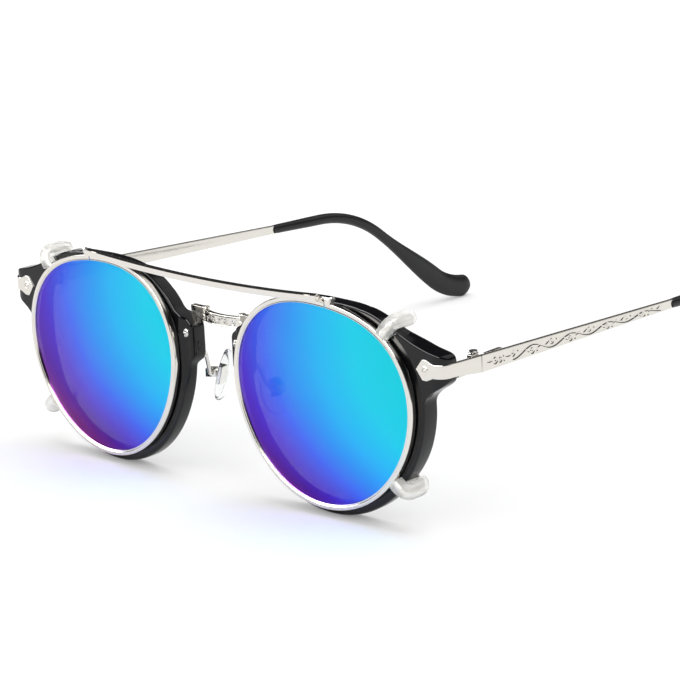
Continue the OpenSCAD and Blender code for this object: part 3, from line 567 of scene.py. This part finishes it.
# Nose pads: a cranked wire arm screwed behind each lug ends in a small box, and the clear
# silicone pad rocks in it on the tab of a metal insert.
ARM_TURN, ARM_R = radians(28), 0.5
BASE_X, BASE_T, BASE_Z, ARM_Z = LUG_X + 1.7, 0.7, 3.9, 2.8
ARM_ALONG, ARM_DOWN = 6.6443, 6.438
PAD_TILT, PAD_BACK, PAD_W, PAD_H, PAD_NARROW = radians(14), -1.7, 7.0, 13.0, 0.1
PAD_RINGS = ((0, 0, 0), (0, 0.6, 0.6), (0, 0.84, 0.87), (0.12, 0.92, 0.94), (0.4, 0.98, 0.985),
             (0.8, 1, 1), (1.3, 0.94, 0.96), (1.75, 0.8, 0.86), (2.1, 0.6, 0.7), (2.3, 0.36, 0.45),
             (2.4, 0, 0))
CHEEK_IN, CHEEK_OUT, BOX_H = 0.55, 1.15, 2.0


def route(start, legs, step=6):
    """Stations [y, z, slope] along a wire: legs of (straight length, bend radius, bend angle)."""
    y, z, slope = start, 0.0, 0.0
    stations = [(y, z, slope)]
    for run, r, bend in legs:
        y, z = y + run * cos(slope), z - run * sin(slope)
        stations.append((y, z, slope))
        bend = radians(bend)
        n = ceil(abs(bend) / radians(step))
        s = -r if bend < 0 else r
        for k in range(1, n + 1):
            a = slope + bend * k / n
            stations.append((y + s * (sin(a) - sin(slope)), z - s * (cos(slope) - cos(a)), a))
        if n:
            y, z, slope = stations[-1]
    return stations


def wire_row(station, h, t, steps=24):
    """An oval ring square to a wire at a station, from its half height h and half thickness t."""
    y, z, slope = station
    return [Vector((t * cos(a), y + h * sin(a) * sin(slope), z + h * sin(a) * cos(slope)))
            for a in (2 * pi * k / steps for k in range(steps))]


def wire(stations, r):
    """A round wire with a slightly rounded end."""
    y, z, slope = stations[-1]
    rows = [wire_row(s, r, r) for s in stations]
    for a in (pi / 6, pi / 3, pi / 2.2):
        tip = (y + r * 0.5 * sin(a) * cos(slope), z - r * 0.5 * sin(a) * sin(slope), slope)
        rows.append(wire_row(tip, r * cos(a), r * cos(a)))
    return skin(rows)


bright_wire = metal("polished_wire", (0.92, 0.9, 0.86), (0.78, 0.76, 0.72), 0.09)
silicone = finish("clear_silicone")
milk = silicone.noise(500, 3)
silicone.surface({"Base Color": silicone.blend(milk, (0.93, 0.95, 0.95), (0.98, 0.985, 0.985)),
                  "Roughness": 0.06 + milk * 0.08, "IOR": 1.17, "Transmission Weight": 0.97,
                  "Normal": silicone.bump(milk, 0.00002, 0.2)})
arm_place = Matrix.Translation((BASE_X, LUG_BACK + BASE_T, ARM_Z)) @ Matrix.Rotation(-ARM_TURN, 4, "Z")
pad_place = arm_place @ Matrix.Translation((0, ARM_ALONG, -ARM_DOWN))


def pad_rows(steps=64):
    """Rings from a pad's flat back to its soft face, from (depth, share of width, share of height)."""
    rows = []
    for x, w, h in PAD_RINGS:
        row = []
        for k in range(steps):
            a = 2 * pi * k / steps
            drop = 1 - PAD_NARROW * sin(a)
            row.append(Vector((PAD_BACK - x, w * PAD_W / 2 * cos(a) * drop, h * PAD_H / 2 * sin(a))))
        rows.append(row)
    return rows


for side, word in SIDES.items():
    arm = wire(route(-0.3, [(0.8, 2.0, 70), (4.4, 1.5, -70), (0.3, 0, 0)]), ARM_R)
    bmesh.ops.transform(arm, matrix=arm_place, verts=arm.verts)
    base = slab((2.2, BASE_T, 4.2), (BASE_X, LUG_BACK + BASE_T / 2, BASE_Z), 0.3)
    cheeks = [slab((2.6, CHEEK_OUT - CHEEK_IN, BOX_H), (0.4, y, 0), 0.1, pad_place)
              for y in (-(CHEEK_IN + CHEEK_OUT) / 2, (CHEEK_IN + CHEEK_OUT) / 2)]
    rear = slab((0.6, 2 * CHEEK_OUT, BOX_H), (1.4, 0, 0), 0.1, pad_place)
    piece("pad_arm_wire_" + word, together([arm, base, rear] + cheeks), beside(side), "front",
          bright_wire, ["pad_arm_" + word])
    bm = skin(pad_rows(), capped=False)
    bmesh.ops.transform(bm, matrix=pad_place @ Matrix.Rotation(-PAD_TILT, 4, "Y"), verts=bm.verts)
    piece("silicone_pad_" + word, bm, beside(side), "nose_pad_" + word, silicone,
          ["nose_pad_" + word])
    dress("pad_insert_" + word, bright_wire)
dress("pad_base_screws", screw_steel)
dress("pad_screws", screw_steel)

# End plates: a flat metal strip with a pointed front, inlaid round the corner of the end
# piece and riveted there. It carries the two outer hinge barrels on a leaf at its back.
PLATE_T, PLATE_BEND, PLATE_OUT, PLATE_FRONT, PLATE_END, PLATE_Z = 1.1, 3.2, 34.38, 1.65, 15.0, 11.4
SPADE_X, SPADE_W, SPADE_H, NECK_H = 28.93, 4.6, 4.8, 3.2
HINGE_X, HINGE_Y, HINGE_Z, STACK_Z, BARREL_R, BARREL_H, KNUCKLE_H = 31.88, 15.3, 10.3, 10.5, 1.15, 1.25, 1.4
SIDE_GAP, LEAF_T, TEMPLE_H, BORE_R, BARREL_EDGE = 0.15, 0.8, 3.9, 0.55, 0.12
RIVET = [(0, 0.1), (0.4, 0.1), (0.43, 0.0), (0.55, 0.0), (0.58, 0.14), (0.92, 0.12), (1.02, 0.0),
         (1.02, -0.05), (0, -0.05)]
PLATE_IN = PLATE_OUT - PLATE_T


def strip_stations():
    """Along the outer face of the end plate: place, way in, middle height and half height."""
    tip, bend_x = SPADE_X - SPADE_W / 2, PLATE_OUT - PLATE_BEND
    neck, spade = NECK_H / 2, SPADE_H / 2
    front = [(tip, 0.1), (tip + 0.12, 0.28), (SPADE_X - 0.75, spade - 0.1), (SPADE_X - 0.55, spade),
             (SPADE_X + 0.55, spade), (SPADE_X + 0.75, spade - 0.12), (SPADE_X + 1.9, neck + 0.16),
             (SPADE_X + 2.1, neck), (bend_x, neck)]
    for x, half in front:
        yield Vector((x, PLATE_FRONT)), Vector((0, 1)), PLATE_Z, half
    for k in range(1, 13):
        a = pi / 2 * k / 12
        yield (Vector((bend_x + PLATE_BEND * sin(a), PLATE_FRONT + PLATE_BEND * (1 - cos(a)))),
               Vector((-sin(a), cos(a))), PLATE_Z, neck)
    start = PLATE_FRONT + PLATE_BEND
    for k in range(1, 21):
        y = start + (PLATE_END - start) * k / 20
        if y < END_BACK:
            middle, half = PLATE_Z - 0.2 * (y - start) / (END_BACK - start), neck
        else:
            part = (y - END_BACK) / (PLATE_END - END_BACK)
            middle = PLATE_Z - 0.2 + (HINGE_Z - PLATE_Z + 0.2) * part
            half = neck + (TEMPLE_H / 2 - neck) * part
        yield Vector((PLATE_OUT, y)), Vector((-1, 0)), middle, half


def strip_rows():
    """The end plate's section at each station."""
    rows = []
    for spot, way, middle, half in strip_stations():
        section = plate_section(max(half, 0.08), PLATE_T, 6, min(0.16, half * 0.4))
        rows.append([Vector((spot.x + way.x * inward, spot.y + way.y * inward, middle + v))
                     for inward, v in section])
    return rows


def barrel(z, h):
    """A hinge barrel with eased ends, bored for the screw."""
    neck = BARREL_R - BARREL_EDGE
    bm = turned([(BORE_R, 0), (neck, 0), (BARREL_R, BARREL_EDGE), (BARREL_R, h - BARREL_EDGE), (neck, h),
                 (BORE_R, h)])
    bmesh.ops.translate(bm, verts=bm.verts, vec=(HINGE_X, HINGE_Y, z))
    return bm


stack = 2 * BARREL_H + KNUCKLE_H + 2 * SIDE_GAP
for side, word in SIDES.items():
    parts = [skin(strip_rows()),
             slab((LEAF_T, PLATE_END - END_BACK - 2.4, TEMPLE_H - 0.6),
                  (PLATE_IN - LEAF_T / 2, (PLATE_END + END_BACK) / 2, HINGE_Z), 0.15)]
    for z in (STACK_Z - stack / 2, STACK_Z + stack / 2 - BARREL_H):
        parts.append(barrel(z, BARREL_H))
        parts.append(slab((PLATE_IN - HINGE_X, BARREL_R + 0.9, BARREL_H),
                          ((PLATE_IN + HINGE_X) / 2, HINGE_Y - (BARREL_R + 1.5) / 2, z + BARREL_H / 2), 0.1))
    piece("end_plate_strip_" + word, together(parts), beside(side), "front", nickel,
          ["end_plate_" + word], sharp=32)
    rivet = turned(RIVET)
    bmesh.ops.transform(rivet, matrix=on_front(SPADE_X, PLATE_FRONT, PLATE_Z), verts=rivet.verts)
    piece("end_rivet_" + word, rivet, beside(side), "front", nickel,
          ["end_plate_rivets"] if side == 1 else ())
    dress("hinge_screw_" + word, screw_steel)

# Temples: a tapering nickel-silver blade with a chased vine on its outer face, the middle
# hinge barrel brazed inside, and a core wire at its end on which the tip is pushed.
TEMPLE_LEN, TEMPLE_END_H, TEMPLE_DROP = 72.6, 2.1, radians(3.1)
VINE_FROM, VINE_TO, VINE_WAVE, VINE_SWING, VINE_DEPTH = 11.0, 67.0, 14.3, 0.82, 0.16
CUT_STEP = 0.12
temple_place = Matrix.Translation((0, HINGE_Y, HINGE_Z)) @ Matrix.Rotation(-TEMPLE_DROP, 4, "X")


def vine_cut(along, v, half):
    """Depth of the chasing on a temple, in mm: a short title of dots and curls, then a running vine."""
    cut = 0.0
    if along < VINE_FROM + 1:
        cut = max(near(abs(v) + 0.22 * abs(along - 2.6), 0.26), swirl(along - 4.6, v, 0.75, 0.27),
                  swirl(6.4 - along, v + 0.2, 0.55, 0.25), near(hypot(along - 7.5, v - 0.5), 0.36),
                  near(hypot(along - 7.8, v + 0.6), 0.32), near(abs(v) + 0.2 * abs(along - 9.3), 0.25),
                  near(hypot(along - 10.7, v - 0.4), 0.32), near(hypot(along - 11.1, v + 0.5), 0.32))
    if along > VINE_FROM:
        phase = (along - VINE_FROM) / VINE_WAVE
        size = half / 1.95
        wave = -VINE_SWING * cos(2 * pi * phase) * (half - 0.55)
        slope = VINE_SWING * sin(2 * pi * phase) * 2 * pi / VINE_WAVE * (half - 0.55)
        cut = near((v - wave) / sqrt(1 + slope * slope), 0.34 + 0.14 * sin(2 * pi * phase))
        inside = phase - int(phase)
        for centre, flip in ((0.0, 1), (0.5, -1), (1.0, 1)):
            du, dv = (inside - centre) * VINE_WAVE, flip * v - 0.42 * size
            cut = max(cut, swirl(du, dv, 0.75 * size, 0.3), near(hypot(du - 1.7, dv - 0.3), 0.4),
                      near(abs(dv + 0.1 - 0.45 * (du + 1.7)) + 0.24 * abs(du + 1.7), 0.3),
                      near(abs(dv + 0.5 + 0.4 * (du - 2.6)) + 0.24 * abs(du - 2.6), 0.28))
        cut *= 1 - ease((along - VINE_TO) / 2)
    return VINE_DEPTH * cut * (1 - ease((abs(v) - half + 0.4) / 0.15))


def temple_rows():
    """The blade's section at each station, with the vine cut into its outer face."""
    rows = []
    stations = [SIDE_GAP - 0.3 + CUT_STEP * k for k in range(int((VINE_TO + 3) / CUT_STEP))]
    stations += [stations[-1] + (TEMPLE_LEN - stations[-1]) * k / 4 for k in (1, 2, 3, 4)]
    for along in stations:
        half = TEMPLE_H / 2 + (TEMPLE_END_H - TEMPLE_H) / 2 * along / TEMPLE_LEN
        row = []
        for inward, v in plate_section(half, PLATE_T, 34, 0.16):
            if inward == 0:
                inward = vine_cut(along, v, half)
            row.append(Vector((PLATE_OUT - inward, along, v)))
        rows.append(row)
    return rows


blade_skin = skin(temple_rows())
knuckle_z = STACK_Z - KNUCKLE_H / 2
for side, word in SIDES.items():
    blade = blade_skin.copy()
    bmesh.ops.transform(blade, matrix=temple_place, verts=blade.verts)
    parts = [blade, barrel(knuckle_z, KNUCKLE_H),
             slab((PLATE_IN - HINGE_X + 0.3, 4.8, KNUCKLE_H),
                  ((PLATE_IN + HINGE_X + 0.3) / 2, HINGE_Y + 2.4, knuckle_z + KNUCKLE_H / 2), 0.1),
             slab((LEAF_T + 0.3, 6, TEMPLE_H - 0.6),
                  (PLATE_IN - LEAF_T / 2 + 0.15, HINGE_Y + 5.2, HINGE_Z), 0.15)]
    piece("temple_blade_" + word, together(parts), beside(side), "temple_" + word, nickel,
          ["temple_" + word], sharp=60)

# Temple tips: satin black acetate sleeves pushed on the core wires, warmed and bent down
# behind the ear, with a paddle end that turns back to level.
CORE_X, TIP_STRAIGHT, EAR_BEND, EAR_R = 33.83, 17.0, 36.4, 37.0
TAIL_BEND, TAIL_R, TAIL_LEN, BEND_STEP = 30.0, 20.0, 26.2576, 3
TIP_H, PADDLE_H, TIP_T, END_LEN = 2.75, 6.0, 2.5, 1.0
PADDLE_R, PADDLE_T = PADDLE_H / 2, TIP_T * 0.56


def swell(a, b, share):
    """From a to b without a corner at either end."""
    return a + (b - a) * ease(share)


def tip_rows():
    """Rings along the tip, drawn on the temple's line: (station, half height, half thickness)."""
    rings = [((TEMPLE_LEN, 0.0, 0.0), 0.7, 0.7), ((TEMPLE_LEN, 0.0, 0.0), 1.1, 0.95)]
    y = TEMPLE_LEN
    for k in range(1, 9):
        share = k / 8
        rings.append(((y + share * TIP_STRAIGHT, 0.0, 0.0), swell(TEMPLE_END_H / 2 + 0.15, TIP_H / 2, share),
                      swell(TIP_T * 0.42, TIP_T / 2, share)))
    ear = route(y + TIP_STRAIGHT, [(0, EAR_R, EAR_BEND), (TAIL_LEN, TAIL_R, -TAIL_BEND)], BEND_STEP)
    bend_steps = ceil(EAR_BEND / BEND_STEP)
    for station in ear[2:bend_steps + 2]:
        rings.append((station, TIP_H / 2, TIP_T / 2))
    y, z, slope = ear[bend_steps + 1]
    nearly = PADDLE_R * 0.97
    for k in range(1, 11):
        share = k / 10
        run = share * TAIL_LEN
        rings.append(((y + run * cos(slope), z - run * sin(slope), slope),
                      swell(TIP_H / 2, nearly, share * 1.05 - 0.05), swell(TIP_T / 2, PADDLE_T, share)))
    for k, station in enumerate(ear[bend_steps + 3:], 1):
        rings.append((station, swell(nearly, PADDLE_R, k / (len(ear) - bend_steps - 3)), PADDLE_T))
    y, z, slope = ear[-1]
    y, z = y + END_LEN * cos(slope), z - END_LEN * sin(slope)
    for k in range(0, 12):
        a = radians(7.9 * k)
        run = PADDLE_R * sin(a)
        rings.append(((y + run * cos(slope), z - run * sin(slope), slope),
                      PADDLE_R * cos(a), PADDLE_T * sqrt(cos(a))))
    return [wire_row(station, h, t, 40) for station, h, t in rings]


satin_black = finish("satin_black_acetate")
grain = satin_black.noise(1400, 5)
rub = satin_black.noise(120, 3)
satin_black.surface({"Base Color": satin_black.blend(rub, (0.009, 0.009, 0.01), (0.018, 0.018, 0.02)),
                     "Roughness": 0.26 + rub * 0.12, "IOR": 1.4,
                     "Normal": satin_black.bump(grain, 0.00002, 0.3)})
tip = skin(tip_rows())
for side, word in SIDES.items():
    bm = tip.copy()
    bmesh.ops.transform(bm, matrix=temple_place @ Matrix.Translation((CORE_X, 0, 0)), verts=bm.verts)
    piece("ear_tip_" + word, bm, beside(side), "temple_" + word, satin_black,
          ["temple_tip_" + word])

# Clip-on rims: grooved wire in a warm silver plate, bent round each mirrored lens and drawn
# shut at the top by a small screw through its closing block.
CLIP_WALL, CLIP_DEPTH, CLOSE_X, SLIT, EAR_W, BAR_H, BAR_T = 1.2, 1.7, 2.4, 0.3, 1.6, 1.7, 1.0
CLOSE_T, CLOSE_TOP, CLIP_STEPS = radians(83.8524), 23.4015, 288
clip_metal = metal("warm_silver_plate", (0.94, 0.905, 0.85), (0.84, 0.8, 0.74), 0.08)


def clip_section():
    """Round the wire's section: (out from the lens edge, back from the front)."""
    r = 0.2
    return [(-0.12, 0.5), (-0.12, 0.22), (-0.02, 0.1), (0.12, 0.1), (0.2, 0.16), (0.3, 0.16), (0.36, 0.06),
            (0.5, 0.0), (CLIP_WALL - r, 0.0)] + \
        [(CLIP_WALL - r + r * sin(a), r - r * cos(a)) for a in (pi / 8, pi / 4, 3 * pi / 8, pi / 2)] + \
        [(CLIP_WALL, CLIP_DEPTH - 0.3), (CLIP_WALL - 0.1, CLIP_DEPTH - 0.08), (CLIP_WALL - 0.3, CLIP_DEPTH),
         (0.1, CLIP_DEPTH), (0.0, CLIP_DEPTH - 0.12), (0.0, 0.6)]


clip_rows = []
gap = SLIT / 2 / LENS_MEAN
for k in range(CLIP_STEPS + 1):
    t = CLOSE_T + gap + (2 * pi - 2 * gap) * k / CLIP_STEPS
    row = []
    for out, y in clip_section():
        spot = lens_edge(t, out)[0]
        row.append(Vector((spot.x, y, spot.y)))
    clip_rows.append(row)
clip_rim = skin(clip_rows)
for side, word in SIDES.items():
    block = slab((EAR_W, 1.5, 1.5), (CLOSE_X + (SLIT + EAR_W) / 2, CLIP_DEPTH - 1.05, CLOSE_TOP + 0.2), 0.1)
    piece("clip_wire_rim_" + word, together([clip_rim.copy(), block]), beside(side), "clip_on",
          clip_metal, ["clip_rim_" + word], sharp=45)
dress("clip_screws", screw_steel)

# Mirrored lenses: domed plastic with a coating on the front that turns from teal through blue
# to violet across each lens and lets a little show through, and a smoke-tinted back.
# FADE_ALONG: pull across, pull up and its loss with height, the nearer lens's shift, the start.
FADE_ALONG, SIDE_REACH, RISE_REACH = (0.83, 0.54, 0.38, 0.2, 0.1), 0.0175, 0.023
COAT_STOPS = [(0.0, (0.23, 0.02, 0.27)), (0.1, (0.12, 0.025, 0.44)), (0.2, (0.10, 0.045, 0.70)),
              (0.33, (0.045, 0.14, 0.98)), (0.47, (0.008, 0.33, 1.0)), (0.62, (0.002, 0.52, 1.0)),
              (0.8, (0.002, 0.68, 0.92)), (1.0, (0.004, 0.68, 0.82))]
mirror = finish("blue_mirror_coating")
spot = mirror.place()


def from_middle(way, reach):
    """Share of the way from the middle of the nearer lens to its edge, seen from the camera."""
    run = mirror.node("VectorMath", {"operation": "DOT_PRODUCT"}, {0: spot, 1: way / reach}, "Value")
    left, right = (Vector((side * EYE[0], EYE[1], EYE[2])).dot(way) * 0.001 / reach for side in (1, -1))
    return run - (on_left * (left - right) + right)


sideways = mirror.node("SeparateXYZ", {}, {"Vector": spot}, "X")
on_left = sideways.math("GREATER_THAN", sideways, 0.0)
run, rise = from_middle(across, SIDE_REACH), from_middle(above, RISE_REACH)
streak = mirror.noise(60, 2)
side_pull, up_pull, up_less, near_shift, start = FADE_ALONG
along = run * side_pull + rise * (up_pull - up_less * rise) + on_left * near_shift - start
fade = (along * 0.5 + 0.5 + (streak - 0.5) * 0.05).share()
coat = mirror.node("ValToRGB", {"stops": COAT_STOPS}, {0: fade})
mirror.surface({"Base Color": coat, "Metallic": 1.0, "Roughness": 0.04 + streak * 0.03,
                "Alpha": 0.87 + fade * 0.1})
CLIP_LENS_Y, CLIP_LENS_T = 0.418, 0.8
clip_lens = lens_blank(CLIP_LENS_Y, CLIP_LENS_T, GROOVE - LENS_PLAY)
smoke = finish("smoke_tinted_plastic")
depth = smoke.noise(40, 2)
smoke.surface({"Base Color": smoke.blend(depth, (0.012, 0.013, 0.016), (0.022, 0.022, 0.026)),
               "Roughness": 0.04 + depth * 0.04, "IOR": 1.05, "Alpha": 0.5 + depth * 0.1})
for side, word in SIDES.items():
    made = piece("mirror_lens_" + word, clip_lens.copy(), beside(side), "clip_on",
                 mirror, ["clip_lens_" + word])
    made.data.materials.append(smoke.holder)
    for face in made.data.polygons:
        face.material_index = 1 if face.normal.y > 0.5 else 0

# Brow bar: a flat drawn wire in a shallow arc, with a crowned top that mirrors the dark
# overhead, soldered to the inner halves of both closings.
BAR_X, BAR_Z, BAR_RISE, BAR_FRONT, BAR_LIFT = 36.9483, 51.8528, 1.5, 1.7013, 0.5
BAR_STEPS, WEB_STEPS, WEB_LEN = 48, 16, 4.6
BAR_R = (BAR_X ** 2 + BAR_RISE ** 2) / (2 * BAR_RISE)


def bar_section():
    """Round the bar's section: a flat front, a crowned top and a flat back."""
    h, t = BAR_H / 2, BAR_T
    crown = [(0.0, h - 0.36), (t - 0.04, h), (t, h - 0.1)]
    foot = [(t, -h + 0.1), (t - 0.1, -h), (0.12, -h), (0.03, -h + 0.04), (0.0, -h + 0.1)]
    return crown + foot


bar_rows = []
half_bar = asin(BAR_X / BAR_R)
for k in range(2 * BAR_STEPS + 1):
    a = half_bar * (k / BAR_STEPS - 1)
    bar_rows.append([Vector(((BAR_R - v) * sin(a), inward - BAR_FRONT + EYE[1],
                             BAR_Z - BAR_RISE + BAR_R - (BAR_R - v) * cos(a)))
                     for inward, v in bar_section()])


def solder_web():
    """The filled corner between the bar and the top of a rim, flush with both, up to the slit."""
    rows = []
    for k in range(WEB_STEPS + 1):
        x = -WEB_LEN + (CLOSE_X - SLIT / 2 + WEB_LEN) * k / WEB_STEPS
        taper = ease(k / 8)
        t = pi / 2
        while lens_edge(t, CLIP_WALL - 0.3)[0].x > x:
            t += 0.002
        low = lens_edge(t, CLIP_WALL - 0.3)[0].y
        top = CLOSE_TOP + BAR_LIFT + BAR_H * (0.35 + 0.4 * taper)
        front = -BAR_FRONT + 0.12
        row = [(front, top), (front + 0.05, top - BAR_H * 0.4), (0.06, low + 0.35), (0.12, low), (1.1, low),
               (1.15, low + 0.4), (front + 0.8, top)]
        rows.append([Vector((x, y + x * sin(-WRAP) * (1 if y < 0 else 0), z)) for y, z in row])
    return skin(rows)


webs = []
for side in SIDES:
    web = solder_web()
    bmesh.ops.transform(web, matrix=Matrix.Diagonal((1000, 1000, 1000, 1)) @ beside(side), verts=web.verts)
    webs.append(web)
piece("brow_bar_wire", together([skin(bar_rows)] + webs), FROM_MM, "clip_on", clip_metal,
      ["brow_bar"])

# Claws: four bent wires brazed to the clip-on's rims, each under a clear rubber tube that
# grips the black rim and flattens where it rests on its front.
CLAW_R, SLEEVE_R, CLAW_GAP, CLAW_BEND, HOOK_LEN, FIT = 0.6, 1.75, 0.2, 2.3, 1.2, 0.02
CLAW_Y, CLAW_ROOT = CLIP_DEPTH / 2, CLIP_WALL + FIT
CLAWS = {"upper": (radians(44.5), 28.0), "lower": (radians(-38), 84.0)}


def claw_route(start, t, hook, tail):
    """A claw's way out past the black rim, back beside it and, by the hook's angle, in behind it."""
    out = rim_edge(t) + CLAW_GAP + SLEEVE_R
    down = (RIM_BACK + CLAW_GAP + SLEEVE_R - CLAW_BEND * sin(radians(hook)) - CLAW_Y - CLAW_BEND
            if hook > 45 else RIM_BACK + 0.2 - CLAW_Y - CLAW_BEND)
    return route(start, [(out - CLAW_BEND - start, CLAW_BEND, 90), (down, CLAW_BEND, hook), (tail, 0, 0)])


def tube(stations, bore, r, cap):
    """A soft tube with rolled ends, drawn from inside its bore round to the outside and back."""
    inner = [wire_row(s, bore, bore) for s in reversed(stations)]
    outer = [wire_row(s, r, r) for s in stations]
    first, last = stations[0], stations[-1]
    rolled = []
    for a in (0.15, 0.5, 0.85):
        size = bore + (r - bore) * a
        rolled.append(wire_row(first, size, size))
    y, z, slope = last
    closing = []
    for a in (0.3, 0.6, 0.85, 1.0):
        run = cap * a
        size = r * sqrt(max(1 - a ** 2.2, 0.0))
        closing.append(wire_row((y + run * cos(slope), z - run * sin(slope), slope), size, size))
    return skin(inner + rolled + outer + closing)


rubber = finish("clear_rubber_tube")
cloud = rubber.noise(700, 3)
milky_tone_and_painted_glow = rubber.blend(cloud, (0.95, 0.945, 0.92), (0.99, 0.985, 0.965))
# The milky tone is the tube's own colour and also feeds a faint emission, a painted glow that lightens the
# sleeves.
rubber.surface({"Base Color": milky_tone_and_painted_glow, "Roughness": 0.3 + cloud * 0.1, "IOR": 1.2, "Transmission Weight": 0.75,
                "Emission Color": milky_tone_and_painted_glow, "Emission Strength": 0.03})
for side, word in SIDES.items():
    for level_word, (t, hook) in CLAWS.items():
        root, way = lens_edge(t)
        facing = Vector((way.x, 0, way.y))
        claw_place = Matrix.Translation((root.x, CLAW_Y, root.y)) @ Matrix((
            (facing.z, facing.x, 0, 0), (0, 0, -1, 0), (-facing.x, facing.z, 0, 0), (0, 0, 0, 1)))
        bm = wire(claw_route(CLAW_ROOT - 0.2, t, hook, HOOK_LEN), CLAW_R)
        bmesh.ops.transform(bm, matrix=claw_place, verts=bm.verts)
        piece(f"claw_wire_{level_word}_{word}", bm, beside(side), "clip_on", bright_wire,
              [f"claw_{level_word}_{word}"])
        bm = tube(claw_route(CLAW_ROOT + 0.35, t, hook, HOOK_LEN + 0.05), CLAW_R + FIT, SLEEVE_R, 0.55)
        for vert in bm.verts:
            if vert.co.y < rim_edge(t) + CLAW_GAP / 2:
                vert.co.z = max(vert.co.z, CLAW_Y - RIM_FRONT + CLAW_GAP)
        bmesh.ops.transform(bm, matrix=claw_place, verts=bm.verts)
        piece(f"rubber_sleeve_{level_word}_{word}", bm, beside(side), "clip_on", rubber,
              [f"claw_sleeve_{level_word}_{word}"])
